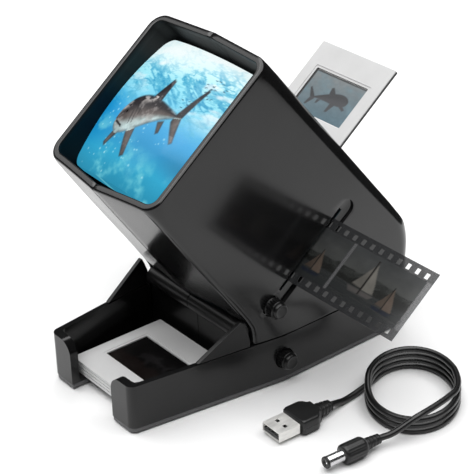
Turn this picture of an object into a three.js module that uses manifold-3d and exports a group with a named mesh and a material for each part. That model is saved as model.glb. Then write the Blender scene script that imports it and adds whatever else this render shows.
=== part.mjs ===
// Desktop slide viewer: a tilted, self-lit viewing hood on a tray base.
// Millimetres, +Z up. X is across the viewer, -Y is the front of the slide tray.
// Origin: on the table, under the middle of the viewer's footprint.
import * as THREE from 'three';
import { mergeVertices } from 'three/addons/utils/BufferGeometryUtils.js';
import Module from 'manifold-3d';

const wasm = await Module();
wasm.setup();

// ---------------------------------------------------------------- driving dimensions
const Y_CENTRE = 80.757;        // model is laid out from the tray's front edge; this recentres it
const GAP = 0.3;               // air between touching pieces
const WALL = 2.4;              // shell thickness

// base (tray tub)
const BASE_LENGTH = 156.4;
const BASE_TOP = 24.8;         // seam height between tub and hood
const FRONT_HALF = 30.85;      // half width at the tray front
const FLARE = 0.143;           // widening of each side per mm of length
const FLARE_END = 78;          // where the flare stops
const REAR_HALF = 41.3;        // half width at the rear
const WALL_TOP = 25.1;         // tray wall height
const TRAY_FLOOR = 4.3;
const LIP_INNER = 16;          // half width of the front notch
const LIP_THICK = 4.2;
const NOTCH_DEPTH = 10.5;
const PLATE_LOW = 0.8;         // bottom plate
const PLATE_HIGH = 2.8;
const TUB_LOW = 3.1;

// optical frame: origin at the centre of the film gate
const GATE_Y = 95.26;
const GATE_Z = 62.32;
const TILT = 37.99;            // degrees, slide path above horizontal
const MOUTH = 88.5;            // distance from gate to hood rim along the optical axis
const MOUTH_HALF_X = 38.85;
const MOUTH_LOW = -38.2;
const MOUTH_HIGH = 42.9;
const RIDGE_FRONT = 3.2;       // centre ridge of the front-lower face
const RIDGE_TOP = 1.6;

// slides and film
const MOUNT = 50;              // 2 x 2 inch slide mount
const MOUNT_THICK = 1.8;
const WINDOW_W = 35;
const WINDOW_H = 23;
const SLIDE_PLANE = 8.5;       // slide channel, in front of the film gate
const SLIDE_UP = 65;           // loaded slide's centre above the gate centre at rest
const FILM_W = 35;
const FILM_HALF_LENGTH = 107;
const FILM_THICK = 0.26;
const STACK_Y = 31.9;          // tray stack centre
const STACK_TOP = 11.2;
const STACK_PITCH = 1.75;
const STACK_THICK = 1.45;

// lens
const LENS_HALF = 36;
const LENS_CENTRE_Y = 2;
const LENS_R = 130;
const LENS_FRONT = 85.3;
const LENS_BACK = 63.3;

// knobs
const KNOB_R = 4.7;
const KNOB_FACE_R = 3.6;
const KNOB_OUT = 47.3;
const RELEASE_Y = -30.8;       // in the optical frame
const RELEASE_Z = -1.8;
const POWER_Y = 78;
const POWER_Z = 12.8;

// batteries
const CELL_R = 7.1;
const CELL_HALF = 25;
const CELL_Z = 10.7;
const CELL_Y = [96, 111, 126];

// power lead, lying in an oval coil
const CORD_R = 1.45;
const COIL = [90.2, 111.8];
const COIL_ACROSS = 20.1;      // mid-line half axes of the oval
const COIL_ALONG = 25.9;
const COIL_TURN = 45.16;       // degrees from +X to the shorter axis
const COIL_TOP = 8.85;         // three turns high

// ---------------------------------------------------------------- materials
const mat = (color, roughness, metalness = 0, extra = {}) =>
  new THREE.MeshStandardMaterial({ color, roughness, metalness, ...extra });
const blackGloss = mat(0x141416, 0.3);
const blackMatt = mat(0x0e0e0f, 0.6);
const knobBlack = mat(0x101012, 0.4);
const lensClear = mat(0x9fd0e6, 0.03, 0, { transparent: true, opacity: 0.5 });
const mountWhite = mat(0xd9dadc, 0.5);
const filmDark = mat(0x2c2d31, 0.25, 0, { transparent: true, opacity: 0.85 });
const filmImage = mat(0x42535f, 0.25);
const opal = mat(0xf4f4f0, 0.5);
const whiteInner = mat(0xe9e9e6, 0.55);
const boardGreen = mat(0x1c5b35, 0.5);
const ledYellow = mat(0xf2e7a0, 0.3);
const steel = mat(0xb8babd, 0.3, 1);
const brassy = mat(0xc9a45a, 0.35, 1);
const cellBlue = mat(0x36598c, 0.35, 0.3);
const rubber = mat(0x1b1b1b, 0.85);
const cordBlack = mat(0x121213, 0.45);

// ---------------------------------------------------------------- helpers
function bare(geometry) {
  const g = geometry.index ? geometry.toNonIndexed() : geometry.clone();
  for (const name of Object.keys(g.attributes)) if (name !== 'position') g.deleteAttribute(name);
  return mergeVertices(g, 1e-4);
}
function solid(geometry) {
  if (geometry instanceof wasm.Manifold) return geometry;
  const g = bare(geometry);
  const m = new wasm.Mesh({
    numProp: 3,
    vertProperties: new Float32Array(g.attributes.position.array),
    triVerts: new Uint32Array(g.index.array),
  });
  return new wasm.Manifold(m);
}
const join = (...parts) => parts.map(solid).reduce((a, b) => a.add(b));
const cut = (base, ...tools) => tools.map(solid).reduce((a, b) => a.subtract(b), solid(base));
const meet = (a, b) => solid(a).intersect(solid(b));
function geometryOf(shape) {
  if (!(shape instanceof wasm.Manifold)) return bare(shape);
  const m = shape.getMesh();
  const g = new THREE.BufferGeometry();
  const p = new Float32Array((m.vertProperties.length / m.numProp) * 3);
  for (let i = 0, j = 0; i < m.vertProperties.length; i += m.numProp, j += 3) {
    p[j] = m.vertProperties[i];
    p[j + 1] = m.vertProperties[i + 1];
    p[j + 2] = m.vertProperties[i + 2];
  }
  g.setAttribute('position', new THREE.BufferAttribute(p, 3));
  g.setIndex(new THREE.BufferAttribute(new Uint32Array(m.triVerts), 1));
  return g;
}
function piece(parent, name, shape, material) {
  const mesh = new THREE.Mesh(geometryOf(shape), material);
  mesh.geometry.computeVertexNormals();
  mesh.name = name;
  parent.add(mesh);
  return mesh;
}
// box from its lowest to its highest corner
function box(x0, x1, y0, y1, z0, z1) {
  return new THREE.BoxGeometry(x1 - x0, y1 - y0, z1 - z0).translate((x0 + x1) / 2, (y0 + y1) / 2, (z0 + z1) / 2);
}
function polygon(points) {
  const s = new THREE.Shape();
  points.forEach(([a, b], i) => (i ? s.lineTo(a, b) : s.moveTo(a, b)));
  s.closePath();
  return s;
}
// outline in X,Y raised from z0 to z1
function prismZ(points, z0, z1) {
  return new THREE.ExtrudeGeometry(polygon(points), { depth: z1 - z0, bevelEnabled: false }).translate(0, 0, z0);
}
// outline in Y,Z swept from x0 to x1
const toX = new THREE.Matrix4().makeBasis(
  new THREE.Vector3(0, 1, 0), new THREE.Vector3(0, 0, 1), new THREE.Vector3(1, 0, 0));
function prismX(points, x0, x1) {
  return new THREE.ExtrudeGeometry(polygon(points), { depth: x1 - x0, bevelEnabled: false })
    .translate(0, 0, x0).applyMatrix4(toX);
}
// turned piece about an axis along X: profile of [x, r]
function turnX(profile, y, z, sides = 20) {
  const g = new THREE.LatheGeometry(profile.map(([x, r]) => new THREE.Vector2(r, x)), sides);
  return g.applyMatrix4(new THREE.Matrix4().makeBasis(
    new THREE.Vector3(0, 1, 0), new THREE.Vector3(1, 0, 0), new THREE.Vector3(0, 0, -1))).translate(0, y, z);
}
const rod = (x0, x1, r, y, z, sides = 16) => turnX([[x0, 0], [x0, r], [x1, r], [x1, 0]], y, z, sides);
// turned piece about a vertical axis: profile of [z, r]
function turnZ(profile, x, y, sides = 20) {
  return new THREE.LatheGeometry(profile.map(([z, r]) => new THREE.Vector2(r, z)), sides)
    .rotateX(Math.PI / 2).translate(x, y, 0);
}
const pole = (z0, z1, r, x, y, sides = 16) => turnZ([[z0, 0], [z0, r], [z1, r], [z1, 0]], x, y, sides);
// closed skin through rings of equal point count, capped at both ends
function loft(rings) {
  const n = rings[0].length;
  const pos = [];
  rings.forEach((r) => r.forEach((p) => pos.push(...p)));
  const idx = [];
  for (let k = 0; k < rings.length - 1; k++) {
    for (let i = 0; i < n; i++) {
      const a = k * n + i, b = k * n + ((i + 1) % n), c = a + n, d = b + n;
      idx.push(a, b, d, a, d, c);
    }
  }
  const capOf = (k, flip) => {
    const base = k * n;
    for (let i = 0; i < n / 2; i++) {
      // strip between the two sides of a symmetric outline
      const l0 = base + i, l1 = base + i + 1, r0 = base + ((n - i) % n), r1 = base + n - 1 - i;
      const quad = i === 0 ? [[l0, r1, l1]] : [[l0, r0, r1], [l0, r1, l1]];
      quad.forEach(([a, b, c]) => (new Set([a, b, c]).size === 3) && idx.push(...(flip ? [a, c, b] : [a, b, c])));
    }
  };
  capOf(0, false);
  capOf(rings.length - 1, true);
  const g = new THREE.BufferGeometry();
  // faces outward whichever way the rings ran
  let six = 0;
  for (let i = 0; i < idx.length; i += 3) {
    const [a, b, c] = [0, 1, 2].map((k) => new THREE.Vector3(...pos.slice(idx[i + k] * 3, idx[i + k] * 3 + 3)));
    six += a.dot(b.cross(c));
  }
  if (six < 0) for (let i = 0; i < idx.length; i += 3) [idx[i], idx[i + 1]] = [idx[i + 1], idx[i]];
  g.setAttribute('position', new THREE.BufferAttribute(new Float32Array(pos), 3));
  g.setIndex(idx);
  return g;
}

// ---------------------------------------------------------------- frames
const root = new THREE.Group();
root.name = 'slide_viewer';
const body = new THREE.Group();
body.position.set(0, -Y_CENTRE, 0);
root.add(body);

const tilt = THREE.MathUtils.degToRad(TILT);
const cosT = Math.cos(tilt), sinT = Math.sin(tilt);
// the optical group: local Y runs up the slide path, local Z out of the mouth
const optics = new THREE.Group();
optics.position.set(0, GATE_Y, GATE_Z);
optics.rotation.x = tilt;
body.add(optics);
optics.updateMatrix();
const intoBody = (g) => g.applyMatrix4(optics.matrix);
const at = (u, s) => [GATE_Y + u * cosT - s * sinT, GATE_Z + u * sinT + s * cosT]; // optical (y, z) to body (y, z)

const halfWidth = (y) => y < FLARE_END
  ? FRONT_HALF + FLARE * y
  : FRONT_HALF + FLARE * FLARE_END + (REAR_HALF - FRONT_HALF - FLARE * FLARE_END) * (y - FLARE_END) / (BASE_LENGTH - FLARE_END);

// base outline, shrunk by an inset, corners rounded
function baseOutline(inset, y0 = 0, y1 = BASE_LENGTH, rFront = 4, rRear = 7) {
  const pts = [];
  const a0 = y0 + inset, a1 = y1 - inset;
  const side = (y) => halfWidth(y) - inset;
  const arc = (cx, cy, r, from, to) => {
    for (let k = 0; k <= 3; k++) {
      const a = from + (to - from) * k / 3;
      pts.push([cx + r * Math.cos(a), cy + r * Math.sin(a)]);
    }
  };
  const rf = Math.max(0.8, rFront - inset), rr = Math.max(0.8, rRear - inset);
  arc(side(a0 + rf) - rf, a0 + rf, rf, -Math.PI / 2, 0);
  pts.push([side(FLARE_END), FLARE_END]);
  arc(side(a1 - rr) - rr, a1 - rr, rr, 0, Math.PI / 2);
  const right = pts.slice();
  return right.concat(right.slice().reverse().map(([x, y]) => [-x, y]));
}

// ---------------------------------------------------------------- base tub
const footAt = [[24, 9], [-24, 9], [34.5, 133], [-34.5, 133]];
const bossAt = [[33, 92], [-33, 92], [33, 147], [-33, 147]];
{
  const outer = prismZ(baseOutline(0), TUB_LOW, BASE_TOP);
  const tray = prismZ([...[[-1, LIP_THICK], [1, LIP_THICK]].map(([s, y]) => [s * (halfWidth(y) - WALL), y]),
    [halfWidth(62) - WALL, 62.6], [-(halfWidth(62) - WALL), 62.6]], TRAY_FLOOR, 40);
  const rearBay = prismZ(baseOutline(WALL, 62.2, BASE_LENGTH), 2, 40);
  const link = box(-(halfWidth(62) - WALL), halfWidth(62) - WALL, 62, 66, 3.9 + 0.4, 40);
  const notch = prismX([[-2, -1], [NOTCH_DEPTH, -1], [NOTCH_DEPTH, 12], [LIP_THICK + 0.5, 40], [-2, 40]], -LIP_INNER, LIP_INNER);
  // rounded shoulders where the lips turn down to the notch
  const shoulder = (s) => {
    const r = 7, pts = [[LIP_INNER - 1, BASE_TOP + 1], [LIP_INNER + r, BASE_TOP + 1]];
    for (let k = 0; k <= 4; k++) {
      const a = Math.PI / 2 + (Math.PI / 2) * k / 4;
      pts.push([LIP_INNER + r + r * Math.cos(a), BASE_TOP - r + r * Math.sin(a)]);
    }
    pts.push([LIP_INNER - 1, BASE_TOP - r]);
    const g = new THREE.ExtrudeGeometry(polygon(pts.map(([x, z]) => [s * x, z])), { depth: LIP_THICK + 2, bevelEnabled: false });
    return g.rotateX(Math.PI / 2).translate(0, LIP_THICK + 1, 0);
  };
  let tub = cut(outer, tray, rearBay, link, notch, shoulder(1), shoulder(-1));
  // screw bosses under the hood
  const bosses = bossAt;
  for (const [x, y] of bosses) tub = tub.add(solid(pole(TUB_LOW, 15, 3.4, x, y, 12)));
  for (const s of [-1, 1]) for (const y of [92, 147]) {
    tub = tub.add(solid(box(s > 0 ? 33 : -halfWidth(y) + 1, s > 0 ? halfWidth(y) - 1 : -33, y - 0.9, y + 0.9, TUB_LOW, 14)));
  }
  for (const [x, y] of bosses) tub = tub.subtract(solid(pole(2, 12, 1.6, x, y, 12)));
  // power button hole, jack hole
  tub = cut(tub, rod(37, 45, 5, POWER_Y, POWER_Z, 16),
    new THREE.CylinderGeometry(3.6, 3.6, 8, 16).translate(-20, BASE_LENGTH - 1, 12));
  piece(body, 'base_shell', tub, blackGloss);
}

// ---------------------------------------------------------------- bottom plate, battery door, feet, screws
{
  const plate = prismZ(baseOutline(0.5), PLATE_LOW, PLATE_HIGH);
  const notch = box(-LIP_INNER, LIP_INNER, -2, NOTCH_DEPTH, 0, 5);
  const door = box(-27.5, 27.5, 88, BASE_LENGTH + 2, 0, 5);
  let p = cut(plate, notch, door);
  for (const [x, y] of footAt) p = p.subtract(solid(pole(0, 1.9, 4.3, x, y, 16)));
  for (const [x, y] of bossAt) p = cut(p, pole(0, 2.4, 3.1, x, y, 12), pole(0, 5, 1.6, x, y, 12));
  piece(body, 'bottom_plate', p, blackGloss);
  piece(body, 'battery_door', cut(box(-27.2, 27.2, 88.3, BASE_LENGTH - 0.6, PLATE_LOW, 2.6),
    box(-6, 6, 139, 140.4, 0.5, 1.4), box(-6, 6, 142.4, 143.8, 0.5, 1.4), box(-6, 6, 145.8, 147.2, 0.5, 1.4)), blackGloss);
  footAt.forEach(([x, y], i) => piece(body, `foot_${i + 1}`, turnZ([[0, 0], [0, 3.6], [0.4, 4], [1.6, 4], [1.6, 0]], x, y, 16), rubber));
  bossAt.forEach(([x, y], i) => piece(body, `base_screw_${i + 1}`,
    turnZ([[1, 0], [1, 2.2], [1.4, 2.7], [2.1, 2.7], [2.1, 1.2], [9, 1.2], [9.6, 0]], x, y, 12), steel));
}

// ---------------------------------------------------------------- chute: cheeks, rounded bar and tray back panel, in two halves
{
  const cheekLine = [[33.3, WALL_TOP], [55.2, 38.9], [56.6, 39.1], [57.7, 37.8], [59.4, 33.4], [60.2, 29], [60.3, WALL_TOP]];
  for (const [name, s] of [['chute_right', 1], ['chute_left', -1]]) {
    const cheek = prismX(cheekLine, 0, WALL);
    const pos = cheek.attributes.position;
    for (let i = 0; i < pos.count; i++) pos.setX(i, pos.getX(i) + halfWidth(pos.getY(i)) - WALL);
    const arc = [];
    for (let k = 0; k <= 8; k++) {
      const a = Math.PI * (0.38 + 0.98 * k / 8);
      arc.push([59.8 + 5 * Math.cos(a), 32 + 5 * Math.sin(a)]);
    }
    arc.push([62.4, 27.2], [62.4, 35.5]);
    const bar = prismX(arc, 0.15, 36.3);
    const barEnd = prismX([[55.4, 30.5], [58.6, 28.6], [58.6, 35.6], [56, 35.4]], 36, 37.1);
    const panel = box(0.15, 36.4, 60.6, 62.4, TRAY_FLOOR + GAP, 33);
    const foot = box(34.5, 36.9, 56, 62.4, 25.3, 31);
    const cover = join(cheek, bar, barEnd, panel, foot);
    const g = geometryOf(cover);
    if (s < 0) { g.scale(-1, 1, 1); const ix = g.index.array; for (let i = 0; i < ix.length; i += 3) [ix[i], ix[i + 1]] = [ix[i + 1], ix[i]]; }
    piece(body, name, g, blackGloss);
  }
}

// ---------------------------------------------------------------- hood shells
// front-lower (A) and rear-top (B) edge lines of the side view, paired section by section
const edgeA = [[MOUTH_LOW, MOUTH], [-40.8, 50], [-43.4, 9.5]].map(([u, s]) => at(u, s))
  .concat([[59.4, 36.4], [61.2, 32.6], [61.8, 29], [61.9, BASE_TOP + GAP]]);
const edgeB = [[MOUTH_HIGH, MOUTH], [43.2, 30], [43.4, -12]].map(([u, s]) => at(u, s))
  .concat([[150.8, 61.8], [156.4, 53.5], [158.3, 44], [157, BASE_TOP + GAP]]);
const widthA = [MOUTH_HALF_X, 39.1, 39.4, 39.55, 39.65, 39.7, 39.7];
const widthK = [MOUTH_HALF_X, 40, 41.2, 41.6, 41.8, 41.9, 42];
const widthB = [MOUTH_HALF_X, 39.9, 40.9, 41.1, 41.2, 41.25, 41.3];
function hoodRings(inset, extend) {
  return edgeA.map((A, i) => {
    let [ay, az] = A, [by, bz] = edgeB[i];
    const L = Math.hypot(by - ay, bz - az);
    const dy = (by - ay) / L, dz = (bz - az) / L;    // from A to B
    const ny = -dz, nz = dy;                          // towards the mouth side
    let oy = 0, oz = 0;
    if (extend && i === 0) { oy = -sinT * 10; oz = cosT * 10; }
    if (extend && i === edgeA.length - 1) { oy = 0; oz = -6; }
    const r = (i === 0 ? 8 : 9) - inset;
    const ring = [];
    const put = (x, u) => ring.push([x, ay + dy * u + oy, az + dz * u + oz]);
    const lo = inset, hi = L - inset;
    const rf = RIDGE_FRONT, rt = i < 4 ? RIDGE_TOP : 0.6;
    const wA = widthA[i] - inset, wK = widthK[i] - inset, wB = widthB[i] - inset;
    const half = [];
    half.push([0.0, lo - rf]);
    for (let k = 0; k <= 3; k++) {
      const a = -Math.PI / 2 + (Math.PI / 2) * k / 3;
      half.push([wA - r + r * Math.cos(a), lo + r + r * Math.sin(a)]);
    }
    half.push([wK, Math.max(lo + r + 2, 17)]);
    for (let k = 0; k <= 3; k++) {
      const a = (Math.PI / 2) * k / 3;
      half.push([wB - r + r * Math.cos(a), hi - r + r * Math.sin(a)]);
    }
    half.push([0.0, hi + rt]);
    half.forEach(([x, u]) => put(x, u));
    half.slice(1, -1).reverse().forEach(([x, u]) => put(-x, u));
    return ring;
  });
}
{
  const shell = cut(loft(hoodRings(0, false)), loft(hoodRings(WALL, true)));
  const L = (g) => intoBody(g);
  const recess = (s) => {
    // a shallow round-ended channel beside the film slot
    const pts = [];
    for (let k = 0; k <= 6; k++) { const a = Math.PI * k / 6; pts.push([25 + 4 * Math.sin(a) , RELEASE_Z + 4 * Math.cos(a)]); }
    for (let k = 0; k <= 6; k++) { const a = Math.PI * k / 6; pts.push([RELEASE_Y - 4 * Math.sin(a), RELEASE_Z - 4 * Math.cos(a)]); }
    return prismX(pts, s > 0 ? 39 : -45, s > 0 ? 45 : -39);
  };
  const boss = (s) => box(s > 0 ? 36.6 : -40, s > 0 ? 40 : -36.6, -37.2, 31.5, -8, 5);
  const bossTool = (u, sOff) => [u, sOff];
  const screwAt = [[35.2, -20], [-33.8, 42], [33.6, 52]].map(([u, s]) => at(u, s));
  let h = shell;
  h = h.add(solid(L(boss(1)))).add(solid(L(boss(-1))));
  for (const [y, z] of screwAt) h = h.add(solid(rod(-39, 39, 3.1, y, z, 10)));
  // trim anything the bosses pushed past the outer skin
  h = h.intersect(solid(loft(hoodRings(0, false))));
  h = cut(h, L(recess(1)), L(recess(-1)));
  // film slot through both sides
  h = cut(h, L(box(-50, 50, -22.8, 22.8, -1, 1)));
  // slide entry at the rear-top face
  h = cut(h, L(box(-26, 26, 34, 50, SLIDE_PLANE - 1.7, SLIDE_PLANE + 1.7)));
  // room for the chute's bar and panel between the side walls
  h = cut(h, box(-37, 37, 50, 64.5, 20, 37.4));
  // exit slit above the bar, where a viewed slide drops into the tray
  h = cut(h, box(-26.5, 26.5, 50, 64.5, 36, 39.6));
  // knob shaft and head
  h = cut(h, L(rod(30, 50, 2.4, RELEASE_Y, RELEASE_Z, 14)), L(rod(39, 50, 5, RELEASE_Y, RELEASE_Z, 18)));
  for (const [y, z] of screwAt) h = cut(h, rod(-50, 14, 1.6, y, z, 10), rod(-50, -36.6, 3, y, z, 10));
  const halfOf = (s) => h.intersect(solid(s > 0 ? box(0.15, 60, -20, 200, 0, 200) : box(-60, -0.15, -20, 200, 0, 200)));
  piece(body, 'hood_right', halfOf(1), blackGloss);
  piece(body, 'hood_left', halfOf(-1), blackGloss);
  screwAt.forEach(([y, z], i) => piece(body, `case_screw_${i + 1}`,
    turnX([[-38.8, 0], [-38.8, 2], [-38.4, 2.6], [-37.1, 2.6], [-37.1, 1.2], [12, 1.2], [12.8, 0]], y, z, 10), steel));
}

// ---------------------------------------------------------------- lens and its frame
{
  const R = LENS_R, r = 52, sag = R - Math.sqrt(R * R - r * r);
  const profile = [[LENS_BACK, 0]];
  for (let k = 1; k <= 6; k++) { const q = r * k / 6; profile.push([LENS_BACK + (R - Math.sqrt(R * R - q * q)), q]); }
  for (let k = 6; k >= 1; k--) { const q = r * k / 6; profile.push([LENS_FRONT - (R - Math.sqrt(R * R - q * q)), q]); }
  profile.push([LENS_FRONT, 0]);
  const disc = new THREE.LatheGeometry(profile.map(([z, q]) => new THREE.Vector2(q, z)), 28).rotateX(Math.PI / 2).translate(0, LENS_CENTRE_Y, 0);
  const h = LENS_HALF - 0.3, c = 5;
  const block = prismZ([[h - c, -h], [h - 1.5, -h + 1.5], [h, -h + c], [h, h - c], [h - 1.5, h - 1.5], [h - c, h], [-h + c, h], [-h + 1.5, h - 1.5], [-h, h - c], [-h, -h + c], [-h + 1.5, -h + 1.5], [-h + c, -h]], 50, 100).translate(0, LENS_CENTRE_Y, 0);
  piece(optics, 'magnifier_lens', meet(disc, block), lensClear);
  const ring = cut(box(-35.8, 35.8, -33.2, 37.2, 60, 62.6), box(-32, 32, -30, 34, 58, 65));
  const posts = [[-1, -1], [1, -1], [-1, 1], [1, 1]].map(([a, b]) => {
    const x = 34.2 * a, y = LENS_CENTRE_Y + 33.8 * b;
    return box(x - 1.2, x + 1.2, y - 1.2, y + 1.2, 62, 69.4);
  });
  piece(optics, 'lens_frame', join(ring, ...posts), blackMatt);
}

// ---------------------------------------------------------------- slide channel
{
  const f0 = SLIDE_PLANE + MOUNT_THICK / 2 + 0.6, r1 = SLIDE_PLANE - MOUNT_THICK / 2 - 0.4;
  const window = box(-18.5, 18.5, -12.5, 12.5, -5, 30);
  const front = join(box(-30, 30, -34, 38.5, f0, f0 + 1.6),
    box(25.5, 30, -23.5, 38.5, r1 + 0.3, f0 + 0.2), box(-30, -25.5, -34, 38.5, r1 + 0.3, f0 + 0.2));
  piece(optics, 'slide_guide_front', cut(front, window), blackMatt);
  piece(optics, 'slide_guide_rear', cut(box(-30, 30, -23.5, 38.5, r1 - 1.6, r1), window), blackMatt);
  // loaded slide, held in the entry slot
  const slide = new THREE.Group();
  slide.position.set(0, SLIDE_UP, SLIDE_PLANE);
  optics.add(slide);
  const h = MOUNT / 2, t = MOUNT_THICK / 2;
  piece(slide, 'loaded_slide_mount', cut(box(-h, h, -h, h, -t, t), box(-WINDOW_W / 2, WINDOW_W / 2, -WINDOW_H / 2, WINDOW_H / 2, -5, 5)), mountWhite);
  piece(slide, 'loaded_slide_image', box(-WINDOW_W / 2 + GAP, WINDOW_W / 2 - GAP, -WINDOW_H / 2 + GAP, WINDOW_H / 2 - GAP, -0.15, 0.15), filmImage);
}

// ---------------------------------------------------------------- film gate
{
  const window = box(-18.4, 18.4, -12.3, 12.3, -20, 20);
  piece(optics, 'film_gate', cut(join(box(-35.8, 35.8, -22, 22, 0.75, 2.4),
    box(-35.8, 35.8, 18, 22, -0.2, 0.9), box(-35.8, 35.8, -22, -18, -0.2, 0.9)), window), blackMatt);
  piece(optics, 'film_pressure_plate', cut(box(-35, 35, -17.6, 17.6, -2.2, -0.5), window), blackMatt);
  piece(optics, 'film_strip', box(-FILM_HALF_LENGTH, FILM_HALF_LENGTH, -FILM_W / 2, FILM_W / 2, -FILM_THICK / 2, FILM_THICK / 2), filmDark);
  // bowed leaf springs behind the pressure plate
  const bow = (y) => {
    const pts = [], back = [];
    for (let k = 0; k <= 8; k++) {
      const x = -14 + 28 * k / 8, z = -7 + 4.2 * Math.cos((x / 14) * Math.PI / 2);
      pts.push([x, z]); back.push([x, z - 0.35]);
    }
    const g = new THREE.ExtrudeGeometry(polygon(pts.concat(back.reverse())), { depth: 3, bevelEnabled: false });
    return g.rotateX(Math.PI / 2).translate(0, y + 1.5, 0);
  };
  piece(optics, 'pressure_spring_top', bow(15.4), steel);
  piece(optics, 'pressure_spring_bottom', bow(-15.4), steel);
}

// ---------------------------------------------------------------- light source behind the gate
{
  piece(optics, 'diffuser', box(-30, 30, -24, 24, -10, -8), opal);
  const rect = (x, y, z) => [[0, -y, z], [x, -y, z], [x, 0, z], [x, y, z], [0, y, z], [-x, y, z], [-x, 0, z], [-x, -y, z]];
  piece(optics, 'light_box', cut(loft([rect(31, 25, -10.3), rect(26, 19.4, -30)]), loft([rect(30.05, 24.05, -8), rect(24.6, 18, -32)])), whiteInner);
  piece(optics, 'led_board', box(-26, 26, -18.6, 18.6, -31.9, -30.3), boardGreen);
  [-15, 0, 15].forEach((x, i) => {
    const p = [[-30, 0], [-30, 2.9], [-29.2, 2.9], [-29.2, 2.4]];
    for (let k = 1; k <= 4; k++) p.push([-29.2 + 2.4 * Math.sin(Math.PI / 2 * k / 4), 2.4 * Math.cos(Math.PI / 2 * k / 4)]);
    p[p.length - 1][1] = 0;
    piece(optics, `led_${i + 1}`, new THREE.LatheGeometry(p.map(([z, q]) => new THREE.Vector2(q, z)), 12).rotateX(Math.PI / 2).translate(x, 0, 0), ledYellow);
  });
}

// ---------------------------------------------------------------- release knob: a pull-out stop under the slide's corner
{
  const head = turnX([[39.4, 0], [39.4, KNOB_R], [KNOB_OUT - 1.1, KNOB_R], [KNOB_OUT, KNOB_FACE_R], [KNOB_OUT, 0]], RELEASE_Y, RELEASE_Z, 20);
  const shaft = rod(25, 40, 2, RELEASE_Y, RELEASE_Z, 12);
  const collar = rod(26.2, 27.6, 3.4, RELEASE_Y, RELEASE_Z, 12);
  const arm = box(24.4, 26.5, -33.4, -25.6, RELEASE_Z - 3.2, SLIDE_PLANE + 1.1);
  const finger = box(19.6, 25, -28.4, -25.6, SLIDE_PLANE - 1.1, SLIDE_PLANE + 1.1);
  piece(optics, 'release_knob', join(head, shaft, collar, arm, finger), knobBlack);
  // return spring, drawn at its fully compressed length against the wall
  class Helix extends THREE.Curve {
    getPoint(t, target = new THREE.Vector3()) {
      const a = t * Math.PI * 2 * 2.5;
      return target.set(34.3 + 1.8 * t, 2.9 * Math.cos(a), 2.9 * Math.sin(a));
    }
  }
  const wire = new THREE.Shape();
  for (let k = 0; k < 6; k++) { const a = Math.PI * k / 3; k ? wire.lineTo(0.3 * Math.cos(a), 0.3 * Math.sin(a)) : wire.moveTo(0.3, 0); }
  wire.closePath();
  const spring = new THREE.ExtrudeGeometry(wire, { steps: 30, extrudePath: new Helix(), bevelEnabled: false });
  piece(optics, 'release_spring', spring.translate(0, RELEASE_Y, RELEASE_Z), steel);
}

// ---------------------------------------------------------------- power button and switch
{
  const head = turnX([[38.6, 0], [38.6, KNOB_R], [KNOB_OUT - 1.1, KNOB_R], [KNOB_OUT, KNOB_FACE_R], [KNOB_OUT, 0]], POWER_Y, POWER_Z, 20);
  piece(body, 'power_button', join(head, rod(33.9, 39, 2, POWER_Y, POWER_Z, 12)), knobBlack);
  piece(body, 'power_switch', cut(box(23, 33.5, 73, 83, 7, 18.6), rod(29, 34, 2.5, POWER_Y, POWER_Z, 12)), blackMatt);
  // DC inlet behind the rear wall, with its centre pin
  const jack = cut(box(-25, -15, 139.5, BASE_LENGTH - WALL - GAP, 6, 17.6),
    new THREE.CylinderGeometry(2.9, 2.9, 10, 16).translate(-20, BASE_LENGTH - WALL - 5 + 0.6, 12));
  piece(body, 'dc_jack', jack.add(solid(new THREE.CylinderGeometry(1, 1, 10, 10).translate(-20, 148.4, 12))), blackMatt);
}

// ---------------------------------------------------------------- batteries
{
  CELL_Y.forEach((y, i) => {
    const s = i % 2 ? -1 : 1;
    const p = [[-CELL_HALF, 0], [-CELL_HALF, CELL_R - 0.6], [-CELL_HALF + 0.6, CELL_R], [CELL_HALF - 1.6, CELL_R], [CELL_HALF - 1.1, CELL_R - 0.6], [CELL_HALF - 1.1, 2.6], [CELL_HALF, 2.6], [CELL_HALF, 0]];
    const g = turnX(p, 0, 0, 16);
    if (s < 0) g.rotateZ(Math.PI);
    piece(body, `battery_${i + 1}`, g.translate(0, y, CELL_Z), cellBlue);
  });
  const contact = (s) => {
    const plate = box(26.2, 26.8, 90, 132, 5, 16.5);
    const nubs = CELL_Y.map((y) => box(25.3, 26.4, y - 1.6, y + 1.6, CELL_Z - 1.6, CELL_Z + 1.6));
    const g = geometryOf(join(plate, ...nubs));
    if (s < 0) g.rotateZ(Math.PI).translate(0, 222, 0);
    return g;
  };
  piece(body, 'contact_plate_right', contact(1), steel);
  piece(body, 'contact_plate_left', contact(-1), steel);
  piece(body, 'battery_cradle', prismX([[86, 3.4], [88.4, 3.4], [88.4, 18.1], [133.9, 18.1], [133.9, 3.4], [136.2, 3.4], [136.2, 19.6], [86, 19.6]], -28.8, 28.8), blackMatt);
}

// ---------------------------------------------------------------- slides lying in the tray
{
  const h = MOUNT / 2;
  for (let i = 0; i < 4; i++) {
    const top = STACK_TOP - (3 - i) * STACK_PITCH;
    piece(body, `tray_slide_${i + 1}`, cut(box(-h, h, STACK_Y - h, STACK_Y + h, top - STACK_THICK, top),
      box(-WINDOW_W / 2, WINDOW_W / 2, STACK_Y - WINDOW_H / 2, STACK_Y + WINDOW_H / 2, 0, 20)), mountWhite);
  }
  piece(body, 'tray_slide_image', box(-WINDOW_W / 2 + GAP, WINDOW_W / 2 - GAP, STACK_Y - WINDOW_H / 2 + GAP, STACK_Y + WINDOW_H / 2 - GAP, STACK_TOP - 0.9, STACK_TOP - 0.55), filmImage);
}

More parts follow.
